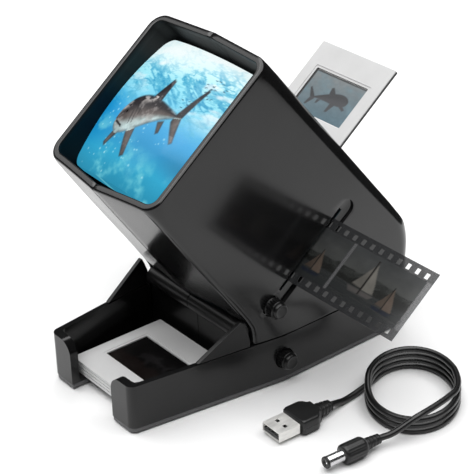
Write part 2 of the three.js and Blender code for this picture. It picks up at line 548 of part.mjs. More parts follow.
// ---------------------------------------------------------------- power lead lying beside the viewer
{
  const yaw = (g, [x, y], a) => g.rotateZ(a).translate(x, y, 0);
  // USB plug: local +Y from the tip to the cord
  const u = (g) => yaw(g, [72.4, 44], -0.038);
  const uz = 4.1;
  piece(body, 'usb_plug_shell', u(geometryOf(cut(box(-6, 6, 0, 11.6, uz - 2.25, uz + 2.25), box(-5.6, 5.6, -1, 8, uz - 1.85, uz + 0.1), box(-5.6, 5.6, -1, 8, uz + 0.1, uz + 1.85)))), steel);
  const grip = join(prismZ([[-7, 11.9], [7, 11.9], [7.8, 12.8], [7.8, 20.5], [6.6, 23.4], [5.2, 24.2], [4.6, 26.6], [-4.6, 26.6], [-5.2, 24.2], [-6.6, 23.4], [-7.8, 20.5], [-7.8, 12.8]], uz - 3.8, uz + 3.8),
    new THREE.CylinderGeometry(2.2, 2.8, 6.8, 12).translate(0, 29.6, uz));
  piece(body, 'usb_plug_grip', u(geometryOf(grip)), cordBlack);
  // DC plug
  const d = (g) => yaw(g, [104.8, 46.6], -0.066);
  const dz = 4.7;
  piece(body, 'dc_plug_tip', d(geometryOf(cut(new THREE.CylinderGeometry(2.75, 2.75, 1.2, 16).translate(0, 0.6, dz), new THREE.CylinderGeometry(1.25, 1.25, 3, 10).translate(0, 0.6, dz)))), cordBlack);
  piece(body, 'dc_plug_barrel', d(geometryOf(cut(new THREE.CylinderGeometry(2.6, 2.6, 7.3, 16).translate(0, 5.15, dz), new THREE.CylinderGeometry(1.25, 1.25, 6, 10).translate(0, 3.5, dz)))), steel);
  piece(body, 'dc_plug_grip', d(geometryOf(new THREE.LatheGeometry([[0, 9.1], [3.9, 9.1], [4.5, 10.1], [4.5, 19.6], [3.6, 21], [2.9, 21.6], [2.3, 29], [0, 29]].map(([r, y]) => new THREE.Vector2(r, y)), 14).translate(0, 0, dz))), cordBlack);
  // the oval's mid-line
  const turn = THREE.MathUtils.degToRad(COIL_TURN);
  const onCoil = (deg, z, grow = 0) => {
    const a = THREE.MathUtils.degToRad(deg);
    const p = (COIL_ACROSS + grow) * Math.cos(a), q = (COIL_ALONG + grow) * Math.sin(a);
    return [COIL[0] + p * Math.cos(turn) - q * Math.sin(turn), COIL[1] + p * Math.sin(turn) + q * Math.cos(turn), z];
  };
  // cord: section with eight sides along smooth routes
  const section = new THREE.Shape();
  for (let k = 0; k < 8; k++) { const a = Math.PI * (k + 0.5) / 4; k ? section.lineTo(CORD_R * Math.cos(a), CORD_R * Math.sin(a)) : section.moveTo(CORD_R * Math.cos(a), CORD_R * Math.sin(a)); }
  section.closePath();
  const tube = (pts, steps) => new THREE.ExtrudeGeometry(section, { steps, extrudePath: new THREE.CatmullRomCurve3(pts.map((p) => new THREE.Vector3(...p)), false, 'centripetal'), bevelEnabled: false });
  piece(body, 'cord_usb_tail', tube([[73.67, 77.3, 4.1], [73.5, 81, 3.3], [72.8, 86, 1.9], [71.9, 91, 1.6], [70.9, 95.5, 1.6]], 8), cordBlack);
  // three turns as one oval ring
  const ring = new THREE.LatheGeometry([[20 - CORD_R, 0.02], [20 + CORD_R, 0.02], [20 + CORD_R, COIL_TOP], [20 - CORD_R, COIL_TOP], [20 - CORD_R, 0.02]].map(([r, z]) => new THREE.Vector2(r, z)), 32).rotateX(Math.PI / 2);
  const rp = ring.attributes.position;
  for (let i = 0; i < rp.count; i++) {
    const a = Math.atan2(rp.getY(i), rp.getX(i)), grow = Math.hypot(rp.getX(i), rp.getY(i)) - 20;
    rp.setXYZ(i, ...onCoil(THREE.MathUtils.radToDeg(a), rp.getZ(i), grow));
  }
  piece(body, 'cord_coil', ring, cordBlack);
  // last half turn on top of the ring, then over its near side and down to the plug
  const half = [140, 125, 110, 95, 80, 65, 50, 35, 20, 8].map((a) => onCoil(a, COIL_TOP + CORD_R + 0.35));
  piece(body, 'cord_dc_tail', tube([...half, [107.7, 121.5, 10.65], [109.4, 115.4, 10.65], [110.5, 108, 10.65], [111.1, 101, 10.65], [111.4, 94.5, 10.55], [111.1, 89.5, 9.6], [110.2, 85.2, 7.8], [108.7, 80.6, 5.7], [107.2, 77.4, 4.85], [106.75, 76, 4.72]], 40), cordBlack);
}

export default root;
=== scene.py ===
import math

import bmesh
import bpy
import numpy as np
from mathutils import Matrix, Vector


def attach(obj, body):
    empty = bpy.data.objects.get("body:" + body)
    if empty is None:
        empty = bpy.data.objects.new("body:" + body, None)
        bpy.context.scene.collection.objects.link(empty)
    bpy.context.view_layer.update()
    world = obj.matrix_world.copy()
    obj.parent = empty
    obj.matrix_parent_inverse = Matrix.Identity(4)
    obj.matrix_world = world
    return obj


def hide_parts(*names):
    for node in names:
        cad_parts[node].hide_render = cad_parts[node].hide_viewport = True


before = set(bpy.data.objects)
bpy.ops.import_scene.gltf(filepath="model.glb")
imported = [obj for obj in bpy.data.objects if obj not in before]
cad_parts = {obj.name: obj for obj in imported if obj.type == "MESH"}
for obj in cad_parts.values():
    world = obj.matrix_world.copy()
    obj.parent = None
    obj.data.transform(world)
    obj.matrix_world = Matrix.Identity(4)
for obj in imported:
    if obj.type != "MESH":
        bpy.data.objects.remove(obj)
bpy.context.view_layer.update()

# ------------------------------------------------------------------ layout, mm
Y_CENTRE = 80.757
GATE_Y, GATE_Z = 95.26, 62.32
TILT = math.radians(37.99)
CT, ST = math.cos(TILT), math.sin(TILT)
MOUTH = 88.5
SLIDE_PLANE = 8.5
BASE_LENGTH = 156.4
BASE_TOP = 24.8


def M(p):
    """Layout millimetres to the frame's metres."""
    p = np.asarray(p, float)
    out = p / 1000.0
    out[..., 1] = (p[..., 1] - Y_CENTRE) / 1000.0
    return out


def L(x, u, w):
    """Optical frame to layout millimetres."""
    x, u, w = np.broadcast_arrays(np.asarray(x, float), np.asarray(u, float), np.asarray(w, float))
    return np.stack([x, GATE_Y + u * CT - w * ST, GATE_Z + u * ST + w * CT], -1)


def at(u, w):
    return (GATE_Y + u * CT - w * ST, GATE_Z + u * ST + w * CT)


# ------------------------------------------------------------------ camera
AZ, EL, ROLL = math.radians(52.03), math.radians(28.78), math.radians(-1.63)
back = Vector((math.sin(AZ) * math.cos(EL), -math.cos(AZ) * math.cos(EL), math.sin(EL)))
right = Vector((math.cos(AZ), math.sin(AZ), 0))
up = back.cross(right)
right2 = math.cos(ROLL) * right + math.sin(ROLL) * up
up2 = -math.sin(ROLL) * right + math.cos(ROLL) * up
cam_data = bpy.data.cameras.new("camera")
cam_data.lens = 123.74
cam_data.sensor_width = 36.0
cam_data.clip_end = 30.0
cam = bpy.data.objects.new("camera", cam_data)
bpy.context.scene.collection.objects.link(cam)
where = M((519.914, -320.730, 418.024))
cam.matrix_world = Matrix((
    (right2.x, up2.x, back.x, where[0]),
    (right2.y, up2.y, back.y, where[1]),
    (right2.z, up2.z, back.z, where[2]),
    (0, 0, 0, 1)))
bpy.context.scene.camera = cam

# ------------------------------------------------------------------ node helpers


class Mat:
    """Small wrapper that makes node set-ups readable."""

    def __init__(self, name):
        self.m = bpy.data.materials.new(name)
        self.m.use_nodes = True
        self.t = self.m.node_tree
        self.t.nodes.clear()
        self.out = self.t.nodes.new("ShaderNodeOutputMaterial")
        self.bsdf = self.t.nodes.new("ShaderNodeBsdfPrincipled")
        self.t.links.new(self.bsdf.outputs[0], self.out.inputs[0])
        self.coord = self.t.nodes.new("ShaderNodeTexCoord").outputs["Object"]

    def n(self, kind, **kw):
        node = self.t.nodes.new(kind)
        for k, v in kw.items():
            setattr(node, k, v)
        return node

    def link(self, a, b):
        self.t.links.new(a, b)

    def set(self, **kw):
        for k, v in kw.items():
            self.bsdf.inputs[k.replace("_", " ")].default_value = v
        return self

    def mapped(self, scale=(1, 1, 1), rot=(0, 0, 0)):
        node = self.n("ShaderNodeMapping")
        node.inputs["Scale"].default_value = scale
        node.inputs["Rotation"].default_value = rot
        self.link(self.coord, node.inputs["Vector"])
        return node.outputs[0]

    def noise(self, scale, detail=3.0, rough=0.55, vec=None):
        node = self.n("ShaderNodeTexNoise")
        node.inputs["Scale"].default_value = scale
        node.inputs["Detail"].default_value = detail
        node.inputs["Roughness"].default_value = rough
        self.link(vec if vec is not None else self.coord, node.inputs["Vector"])
        return node.outputs["Fac"]

    def ramp(self, fac, stops):
        node = self.n("ShaderNodeValToRGB")
        el = node.color_ramp.elements
        while len(el) > 1:
            el.remove(el[-1])
        el[0].position, el[0].color = stops[0][0], (*stops[0][1], 1)
        for pos, col in stops[1:]:
            e = el.new(pos)
            e.color = (*col, 1)
        self.link(fac, node.inputs[0])
        return node.outputs[0]

    def span(self, fac, lo, hi, a=0.0, b=1.0):
        node = self.n("ShaderNodeMapRange")
        node.inputs["From Min"].default_value = a
        node.inputs["From Max"].default_value = b
        node.inputs["To Min"].default_value = lo
        node.inputs["To Max"].default_value = hi
        self.link(fac, node.inputs["Value"])
        return node.outputs[0]

    def mix(self, fac, a, b, blend="MIX"):
        node = self.n("ShaderNodeMix", data_type="RGBA", blend_type=blend)
        for sock, v in ((node.inputs["Factor"], fac), (node.inputs[6], a), (node.inputs[7], b)):
            if isinstance(v, (int, float)):
                sock.default_value = v
            elif isinstance(v, tuple):
                sock.default_value = (*v, 1) if len(v) == 3 else v
            else:
                self.link(v, sock)
        return node.outputs[2]

    def math(self, op, a, b=0.0):
        node = self.n("ShaderNodeMath", operation=op)
        for i, v in enumerate((a, b)):
            if isinstance(v, (int, float)):
                node.inputs[i].default_value = v
            else:
                self.link(v, node.inputs[i])
        return node.outputs[0]

    def bump(self, height, strength=0.1, distance=0.0001):
        node = self.n("ShaderNodeBump")
        node.inputs["Strength"].default_value = strength
        node.inputs["Distance"].default_value = distance
        self.link(height, node.inputs["Height"])
        self.link(node.outputs[0], self.bsdf.inputs["Normal"])
        return self

    def colour(self, sock):
        self.link(sock, self.bsdf.inputs["Base Color"])
        return self

    def rough(self, sock):
        self.link(sock, self.bsdf.inputs["Roughness"])
        return self


def plastic(name, dark, light, rough, grain=2600.0, bump=0.06, spec=0.5, patch=0.05):
    """Moulded plastic: faint mottling, uneven polish, a fine moulded grain."""
    k = Mat(name)
    k.colour(k.ramp(k.noise(55, 4), [(0.3, dark), (0.7, light)]))
    k.rough(k.span(k.noise(38, 5, 0.65), rough - patch, rough + patch, 0.3, 0.7))
    fine = k.noise(grain, 2)
    k.bump(fine, bump, 0.00006)
    k.set(Specular_IOR_Level=spec)
    return k.m


body_black = plastic("body_black_gloss", (0.0045, 0.0045, 0.0047), (0.0065, 0.0065, 0.0068), 0.16, 2400, 0.04, 0.47, 0.025)
tub_black = plastic("tub_black_gloss", (0.0045, 0.0045, 0.0047), (0.0070, 0.0070, 0.0073), 0.19, 2400, 0.04, 0.38, 0.025)
chute_black = plastic("chute_black_satin", (0.0045, 0.0045, 0.0047), (0.0070, 0.0070, 0.0073), 0.33, 2400, 0.04, 0.34, 0.03)
inner_black = plastic("inner_black_matt", (0.0025, 0.0025, 0.0026), (0.0045, 0.0045, 0.0047), 0.5, 1800, 0.1, 0.22)
knob_black = plastic("knob_black", (0.003, 0.003, 0.0032), (0.0055, 0.0055, 0.0057), 0.3, 2200, 0.05, 0.34)
# the bottom plate is a lighter grey than the black body: a painted reflection of the floor along the foot of the base
plate_grey_painted_reflection = plastic("bottom_plate_painted_reflection_grey", (0.075, 0.076, 0.078), (0.105, 0.106, 0.108), 0.42, 2000, 0.08, 0.5)
opal_mat = plastic("opal_diffuser", (0.80, 0.80, 0.78), (0.86, 0.86, 0.84), 0.45, 900, 0.03, 0.4)
white_matt = plastic("white_inner", (0.74, 0.74, 0.72), (0.82, 0.82, 0.80), 0.5, 900, 0.05, 0.4)
foot_rubber = plastic("foot_rubber", (0.012, 0.012, 0.012), (0.022, 0.022, 0.022), 0.8, 1500, 0.2, 0.3)
cord_black = plastic("cord_black_pvc", (0.004, 0.004, 0.0042), (0.007, 0.007, 0.0073), 0.30, 1700, 0.08, 0.5)
grip_black = plastic("grip_black_pvc", (0.005, 0.005, 0.0052), (0.009, 0.009, 0.0093), 0.38, 1500, 0.12, 0.5)
mount_white = plastic("slide_mount_white", (0.61, 0.61, 0.61), (0.67, 0.67, 0.67), 0.42, 1300, 0.06, 0.4)
card_white = plastic("slide_mount_white_card", (0.47, 0.47, 0.47), (0.52, 0.52, 0.52), 0.45, 1300, 0.06, 0.3)
mount_grey = plastic("slide_mount_grey_back", (0.035, 0.035, 0.036), (0.05, 0.05, 0.052), 0.42, 1300, 0.06, 0.4)
board_green = plastic("led_board_green", (0.02, 0.12, 0.05), (0.03, 0.17, 0.07), 0.45, 600, 0.1, 0.5)
led_resin = plastic("led_resin", (0.75, 0.66, 0.25), (0.85, 0.78, 0.4), 0.15, 900, 0.02, 0.5)


def metal(name, col, rough, streak=(60, 60, 900), metallic=1.0):
    k = Mat(name)
    k.set(Metallic=metallic)
    lines = k.noise(9, 3, 0.6, k.mapped(streak))
    k.colour(k.mix(k.span(lines, 0, 1, 0.3, 0.7), tuple(c * 0.82 for c in col), col))
    k.rough(k.span(lines, rough - 0.06, rough + 0.08, 0.3, 0.7))
    k.bump(lines, 0.05, 0.00004)
    return k.m


steel = metal("plated_steel", (0.72, 0.72, 0.73), 0.24)
usb_steel = metal("usb_shell_plated", (0.97, 0.96, 0.93), 0.42, (60, 12, 60), 0.62)


def sleeve():
    k = Mat("cell_sleeve")
    band = k.n("ShaderNodeSeparateXYZ")
    k.link(k.coord, band.inputs[0])
    stripe = k.math("GREATER_THAN", k.math("ABSOLUTE", band.outputs[0]), 0.014)
    k.colour(k.mix(stripe, (0.03, 0.09, 0.24), (0.5, 0.42, 0.18)))
    k.rough(k.span(k.noise(80, 3), 0.2, 0.34, 0.3, 0.7))
    k.set(Metallic=0.35)
    return k.m


cell_mat = sleeve()


def painted(name, rough, glow=0.0, coat=0.0, alpha=False, shimmer=0.0, body=1.0, spec=0.5):
    """Colours painted on the vertices, with fine dye grain over them."""
    k = Mat(name)
    a = k.n("ShaderNodeAttribute", attribute_name="paint", attribute_type="GEOMETRY")
    grain = k.ramp(k.noise(2300, 3, 0.7), [(0.25, (0.90 - shimmer,) * 3), (0.75, (1.0 + shimmer,) * 3)])
    col = k.mix(1.0, a.outputs["Color"], grain, "MULTIPLY")
    k.colour(k.mix(1.0, col, (body, body, body), "MULTIPLY"))
    k.rough(k.span(k.noise(120, 3), rough * 0.8, rough * 1.25, 0.3, 0.7))
    k.set(Specular_IOR_Level=spec)
    if glow:
        k.link(col, k.bsdf.inputs["Emission Color"])
        k.bsdf.inputs["Emission Strength"].default_value = glow
    if coat:
        k.set(Coat_Weight=coat, Coat_Roughness=0.04)
    if alpha:
        k.link(a.outputs["Alpha"], k.bsdf.inputs["Alpha"])
    return k.m


# the lens picture is given a painted glow (emission) that stands in for the backlight shining through the slide
lens_mat = painted("lens_with_glowing_picture", 0.10, glow=0.93, coat=0.0, body=0.12, spec=0.08)
film_mat = painted("film_emulsion", 0.22, alpha=True, spec=0.3)
# the slide films are given a faint painted glow (emission) that stands in for backlight
chip_mat = painted("slide_emulsion_glowing", 0.2, glow=0.08, spec=0.35)

# ------------------------------------------------------------------ mesh helpers


def link(o):
    bpy.context.scene.collection.objects.link(o)
    return o


def raw(name, verts, faces, mat=None):
    me = bpy.data.meshes.new(name)
    me.from_pydata([tuple(v) for v in np.asarray(verts, float)], [], [tuple(int(i) for i in f) for f in faces])
    me.update()
    bm = bmesh.new()
    bm.from_mesh(me)
    bmesh.ops.remove_doubles(bm, verts=bm.verts, dist=1e-6)
    bmesh.ops.recalc_face_normals(bm, faces=bm.faces)
    bm.to_mesh(me)
    bm.free()
    o = bpy.data.objects.new(name, me)
    if mat:
        me.materials.append(mat)
    return link(o)


def bake(o):
    """Applies an object's modifiers to its mesh."""
    dg = bpy.context.evaluated_depsgraph_get()
    me = bpy.data.meshes.new_from_object(o.evaluated_get(dg), preserve_all_data_layers=True, depsgraph=dg)
    o.modifiers.clear()
    old = o.data
    o.data = me
    me.name = o.name
    bpy.data.meshes.remove(old)
    return o


def boolean(o, tools, op="DIFFERENCE"):
    for t in tools:
        m = o.modifiers.new("b", "BOOLEAN")
        m.operation, m.solver, m.object = op, "EXACT", t
    bake(o)
    for t in tools:
        me = t.data
        bpy.data.objects.remove(t)
        bpy.data.meshes.remove(me)
    return o


def bevel(o, width, segments=2, angle=40):
    m = o.modifiers.new("bevel", "BEVEL")
    m.width, m.segments, m.limit_method = width / 1000.0, segments, "ANGLE"
    m.angle_limit = math.radians(angle)
    m.use_clamp_overlap = True
    return bake(o)


def smooth(o, angle=30, weighted=True):
    o.data.shade_smooth()
    o.data.set_sharp_from_angle(angle=math.radians(angle))
    if weighted:
        m = o.modifiers.new("weighted", "WEIGHTED_NORMAL")
        m.keep_sharp = True
        m.weight = 60
        bake(o)
    return o


def paint(o, rgba):
    """rgba: one colour per vertex, in mesh order."""
    lay = o.data.color_attributes.new("paint", "FLOAT_COLOR", "POINT")
    lay.data.foreach_set("color", np.asarray(rgba, np.float32).ravel())


def give(o, body, slot, *nodes):
    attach(o, body)
    if nodes:
        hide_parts(*nodes)
    return o


def tidy(pts):
    return [p for i, p in enumerate(pts) if np.hypot(*(np.array(p) - np.array(pts[i - 1]))) > 1e-4]


def prism(name, outline, lo, hi, place, mat=None):
    """A closed outline [(a, b)] swept from lo to hi; place(a, b, c) gives layout mm."""
    outline = tidy(outline)
    n = len(outline)
    v = [place(a, b, lo) for a, b in outline] + [place(a, b, hi) for a, b in outline]
    f = [list(range(n))[::-1], [n + i for i in range(n)]]
    f += [[i, (i + 1) % n, n + (i + 1) % n, n + i] for i in range(n)]
    return raw(name, M(np.array(v, float)), f, mat)


def prism_z(name, outline, z0, z1, mat=None):
    return prism(name, outline, z0, z1, lambda a, b, c: (a, b, c), mat)


def prism_x(name, outline, x0, x1, mat=None):
    return prism(name, outline, x0, x1, lambda a, b, c: (c, a, b), mat)


def prism_w(name, outline, w0, w1, mat=None):
    """Outline in the optical x, u plane, swept along its axis."""
    return prism(name, outline, w0, w1, lambda a, b, c: tuple(L(a, b, c)), mat)


def rect(a0, a1, b0, b1, r=0.0, n=5):
    if r <= 0:
        return [(a0, b0), (a1, b0), (a1, b1), (a0, b1)]
    pts = []
    for cx, cy, s in ((a1 - r, b0 + r, -90), (a1 - r, b1 - r, 0), (a0 + r, b1 - r, 90), (a0 + r, b0 + r, 180)):
        for k in range(n + 1):
            t = math.radians(s + 90 * k / n)
            pts.append((cx + r * math.cos(t), cy + r * math.sin(t)))
    return pts


def box(name, x0, x1, y0, y1, z0, z1, mat=None):
    return prism_z(name, rect(x0, x1, y0, y1), z0, z1, mat)


def box_l(name, x0, x1, u0, u1, w0, w1, mat=None):
    return prism_w(name, rect(x0, x1, u0, u1), w0, w1, mat)


def lathe(name, profile, place, sides=48, mat=None, shape=None):
    """profile [(along, r)] turned; place(along, p, q) gives layout mm. shape(along, r, angle) may change r."""
    rings = []
    for along, r in profile:
        if r < 1e-6:
            rings.append(np.array([place(along, 0, 0)]))
            continue
        ring = []
        for k in range(sides):
            t = 2 * math.pi * k / sides
            rr = shape(along, r, t) if shape else r
            ring.append(place(along, rr * math.cos(t), rr * math.sin(t)))
        rings.append(np.array(ring))
    v = np.concatenate(rings)
    start = np.cumsum([0] + [len(r) for r in rings])
    f = []
    for i in range(len(rings) - 1):
        a, b = rings[i], rings[i + 1]
        for k in range(sides):
            j = (k + 1) % sides
            if len(a) == 1 and len(b) == 1:
                continue
            if len(a) == 1:
                f.append((start[i], start[i + 1] + k, start[i + 1] + j))
            elif len(b) == 1:
                f.append((start[i] + k, start[i] + j, start[i + 1]))
            else:
                f.append((start[i] + k, start[i] + j, start[i + 1] + j, start[i + 1] + k))
    return raw(name, M(v), f, mat)


def grid_solid(name, top, bottom, mat=None):
    """Two n x m sheets of points joined round their edges."""
    n, m = top.shape[:2]
    v = np.concatenate([top.reshape(-1, 3), bottom.reshape(-1, 3)])
    idx = np.arange(n * m).reshape(n, m)
    f = []
    for s, flip in ((0, False), (n * m, True)):
        q = np.stack([idx[:-1, :-1], idx[1:, :-1], idx[1:, 1:], idx[:-1, 1:]], -1).reshape(-1, 4) + s
        f += (q[:, ::-1] if flip else q).tolist()
    edge = list(idx[:, 0]) + list(idx[-1, 1:]) + list(idx[-2::-1, -1]) + list(idx[0, -2:0:-1])
    for a, b in zip(edge, edge[1:] + edge[:1]):
        f.append((a, b, b + n * m, a + n * m))
    me = bpy.data.meshes.new(name)
    me.from_pydata(v.tolist(), [], [tuple(int(i) for i in q) for q in f])
    me.update()
    o = bpy.data.objects.new(name, me)
    if mat:
        me.materials.append(mat)
    return link(o)


def fix_normals(o):
    bm = bmesh.new()
    bm.from_mesh(o.data)
    bmesh.ops.recalc_face_normals(bm, faces=bm.faces)
    bm.to_mesh(o.data)
    bm.free()
    return o


def join_meshes(name, objs):
    """Several closed shells as one object."""
    bm = bmesh.new()
    for o in objs:
        bm.from_mesh(o.data)
    me = bpy.data.meshes.new(name)
    mats = [m for m in objs[0].data.materials]
    bm.to_mesh(me)
    bm.free()
    for m in mats:
        me.materials.append(m)
    for o in objs:
        d = o.data
        bpy.data.objects.remove(o)
        bpy.data.meshes.remove(d)
    return link(bpy.data.objects.new(name, me))


# ------------------------------------------------------------------ painting helpers
TABLE = np.random.default_rng(11).random((256, 256))


def value_noise(x, y, seed=0):
    x, y = x + seed * 17.3, y + seed * 31.7
    xi, yi = np.floor(x).astype(int), np.floor(y).astype(int)
    fx, fy = x - xi, y - yi
    fx, fy = fx * fx * (3 - 2 * fx), fy * fy * (3 - 2 * fy)
    g = lambda a, b: TABLE[a % 256, b % 256]
    return (g(xi, yi) * (1 - fx) + g(xi + 1, yi) * fx) * (1 - fy) + (g(xi, yi + 1) * (1 - fx) + g(xi + 1, yi + 1) * fx) * fy


def fbm(x, y, seed=0, octaves=4):
    total, amp, norm = 0, 1.0, 0
    for k in range(octaves):
        total = total + amp * value_noise(x * 2 ** k, y * 2 ** k, seed + k * 5)
        norm += amp
        amp *= 0.55
    return total / norm


def lerp(a, b, t):
    t = np.clip(t, 0, 1)[..., None]
    return np.asarray(a) * (1 - t) + np.asarray(b) * t


def step(lo, hi, v):
    t = np.clip((v - lo) / (hi - lo), 0, 1)
    return t * t * (3 - 2 * t)


def polygon_distance(x, y, pts):
    """Signed distance to a polygon, negative inside."""
    pts = np.asarray(pts, float)
    d = np.full(x.shape, 1e9)
    inside = np.zeros(x.shape, bool)
    for (ax, ay), (bx, by) in zip(pts, np.roll(pts, -1, 0)):
        ex, ey = bx - ax, by - ay
        t = np.clip(((x - ax) * ex + (y - ay) * ey) / (ex * ex + ey * ey), 0, 1)
        d = np.minimum(d, np.hypot(x - ax - t * ex, y - ay - t * ey))
        cross = ((ay > y) != (by > y)) & (x < (bx - ax) * (y - ay) / ((by - ay) + 1e-12) + ax)
        inside ^= cross
    return np.where(inside, -d, d)


def fish(x, y, flip=1.0):
    """A plain swimming fish, head towards -x: (distance, height across the body)."""
    x = x * flip
    spine = lambda t: 0.10 * np.sin(2.6 * t) - 0.03
    t = np.clip((x + 1.0) / 2.0, 0, 1)
    r = 0.33 * np.sin(np.pi * np.clip(t, 0, 1) ** 0.62) ** 0.9 * (1 - 0.55 * t) + 0.018
    cy = spine(t)
    body = np.abs(y - cy) - r
    body = np.where((x < -1.0) | (x > 1.0), np.hypot(np.maximum(np.abs(x) - 1, 0), y - cy), body)
    fins = [
        [(-0.22, 0.20), (0.10, 0.62), (0.20, 0.58), (0.20, 0.20)],
        [(-0.45, -0.10), (-0.10, -0.62), (0.02, -0.60), (-0.10, -0.14)],
        [(-0.62, -0.02), (-0.98, -0.40), (-0.90, -0.46), (-0.40, -0.12)],
        [(0.90, 0.02), (1.30, 0.52), (1.36, 0.48), (1.14, 0.0), (1.30, -0.36), (1.22, -0.38), (0.90, -0.06)],
        [(0.52, -0.08), (0.66, -0.26), (0.74, -0.24), (0.70, -0.06)],
    ]
    d = body
    for f in fins:
        d = np.minimum(d, polygon_distance(x, y, f))
    return d, (y - cy) / np.maximum(r, 0.02)

# ------------------------------------------------------------------ power lead (made first)
CORD_R = 1.45
COIL = (90.2, 111.8)
ACROSS, ALONG = 20.1, 25.9
TURN = math.radians(45.16)


def on_coil(deg, z):
    a = math.radians(deg)
    p, q = ACROSS * math.cos(a), ALONG * math.sin(a)
    return (COIL[0] + p * math.cos(TURN) - q * math.sin(TURN), COIL[1] + p * math.sin(TURN) + q * math.cos(TURN), z)


lead_route = [(73.66, 76.6, 4.1), (73.62, 78.6, 3.85), (73.35, 81.5, 3.1), (72.9, 85, 2.15), (72.35, 88.5, 1.62),
              (71.75, 92.5, 1.46), (71.1, 96.5, 1.46), (70.3, 101, 1.46), (69.4, 105.2, 1.46), (68.5, 109, 1.46)]
PITCH = 2.93
for travelled in range(0, 1080 + 132, 15):
    whole, part = divmod(travelled, 360)
    rise = float(step(292, 334, np.array(float(part))))
    lead_route.append(on_coil(140 - travelled, CORD_R + 0.01 + PITCH * (whole + rise)))
zt = CORD_R + 0.01 + PITCH * 3
lead_route += [(107.7, 121.5, zt), (109.4, 115.4, zt), (110.5, 108, zt), (111.1, 101, zt), (111.4, 94.5, zt - 0.1),
               (111.1, 89.5, 9.3), (110.2, 85.2, 7.5), (108.7, 80.6, 5.6), (107.2, 77.4, 4.85), (106.72, 75.4, 4.7)]


def curve_piece(name, pts, radius, mat, resolution=5):
    cu = bpy.data.curves.new(name, "CURVE")
    cu.dimensions = "3D"
    cu.bevel_depth = radius / 1000.0
    cu.bevel_resolution = 4
    cu.use_fill_caps = True
    cu.resolution_u = resolution
    sp = cu.splines.new("BEZIER")
    sp.bezier_points.add(len(pts) - 1)
    for bp, p in zip(sp.bezier_points, pts):
        bp.co = Vector(M(p))
        bp.handle_left_type = bp.handle_right_type = "AUTO"
    cu.materials.append(mat)
    return link(bpy.data.objects.new(name, cu))


lead = curve_piece("power_lead", lead_route, CORD_R, cord_black)


def turned_y(tip, yaw, z):
    """Places a plug piece: local along +Y from its tip, p across, q up."""
    c, s = math.cos(yaw), math.sin(yaw)
    return lambda along, p, q: (tip[0] + p * c - along * s, tip[1] + p * s + along * c, z + q)


USB = turned_y((72.4, 44.0), -0.038, 4.1)
DC = turned_y((104.8, 46.6), -0.066, 4.7)


def plug_prism(name, outline, q0, q1, where, mat):
    return prism(name, outline, q0, q1, lambda a, b, c: where(b, a, c), mat)


shell = plug_prism("usb_shell", rect(-6, 6, 0.02, 11.6, 0.3), -2.25, 2.25, USB, usb_steel)
holes = [plug_prism("h", rect(-5.65, 5.65, -1, 8.4), -1.92, 1.92, USB, None)]
for s in (-1, 1):
    for q in (1.5, -2.6):
        holes.append(plug_prism("h", rect(s * 2.6 - 1.1, s * 2.6 + 1.1, 4.9, 7.0), q, q + 1.2, USB, None))
boolean(shell, holes)
smooth(bevel(shell, 0.12, 2, 50), 40)
tongue = plug_prism("usb_tongue", rect(-5.5, 5.5, 0.5, 8.5), -1.85, -0.1, USB, None)
tongue.data.materials.append(grip_black)
smooth(bevel(tongue, 0.1, 1, 50), 40)
pins = []
for x in (-3.5, -1.25, 1.25, 3.5):
    pins.append(plug_prism("pin", rect(x - 0.5, x + 0.5, 1.0, 8.3), -0.12, 0.02, USB, steel))
usb_pins = join_meshes("usb_contacts", pins)


def strain_relief(name, where, start, end, w0, h0, w1, h1, ribs, mat, power=2.6):
    """A tapered sleeve with moulded grooves; superellipse section."""
    prof, total = [], end - start
    count = ribs * 10
    for i in range(count + 1):
        t = i / count
        phase = (t * ribs) % 1.0
        groove = 0.0 if t < 0.04 or t > 0.97 else 0.20 * float(step(0.55, 0.66, np.array(phase)) * (1 - step(0.86, 0.97, np.array(phase))))
        prof.append((start + total * t, 1 - groove, t))
    rings = []
    for along, k, t in prof:
        w, h = (w0 + (w1 - w0) * t) * k, (h0 + (h1 - h0) * t) * k
        rings.append([where(along, w * abs(math.cos(a)) ** (2 / power) * math.copysign(1, math.cos(a)),
                            h * abs(math.sin(a)) ** (2 / power) * math.copysign(1, math.sin(a)))
                      for a in np.linspace(0, 2 * math.pi, 33)[:-1]])
    n = 32
    v = [p for r in rings for p in r] + [where(start, 0, 0), where(end, 0, 0)]
    f = [(i * n + k, i * n + (k + 1) % n, (i + 1) * n + (k + 1) % n, (i + 1) * n + k) for i in range(len(rings) - 1) for k in range(n)]
    last = (len(rings) - 1) * n
    f += [(len(v) - 2, (k + 1) % n, k) for k in range(n)] + [(len(v) - 1, last + k, last + (k + 1) % n) for k in range(n)]
    return raw(name, M(np.array(v)), f, mat)


def rounded_stack(name, outline_at, levels, where, mat):
    """Outline grown or shrunk level by level: levels [(q, inset)]."""
    rings = [[where(b, a, q) for a, b in outline_at(inset)] for q, inset in levels]
    n = len(rings[0])
    v = [p for r in rings for p in r]
    f = [(i * n + k, i * n + (k + 1) % n, (i + 1) * n + (k + 1) % n, (i + 1) * n + k) for i in range(len(rings) - 1) for k in range(n)]
    f += [list(range(n))[::-1], [(len(rings) - 1) * n + k for k in range(n)]]
    return raw(name, M(np.array(v)), f, mat)


def usb_outline(inset):
    w, a0 = 7.75 - inset, 11.95 + inset * 0.6
    pts = [(-w + 1.6, a0), (w - 1.6, a0), (w - 0.5, a0 + 0.5), (w, a0 + 1.6), (w, 19.9), (w - 0.2, 21.0), (w - 1.1, 22.3), (w - 2.4, 23.3 - inset * 0.3),
           (4.6 - inset * 0.8, 24.0), (4.5 - inset * 0.8, 24.9 - inset * 0.2)]
    right = pts[1:]
    return right + [(-x, y) for x, y in reversed(right)]


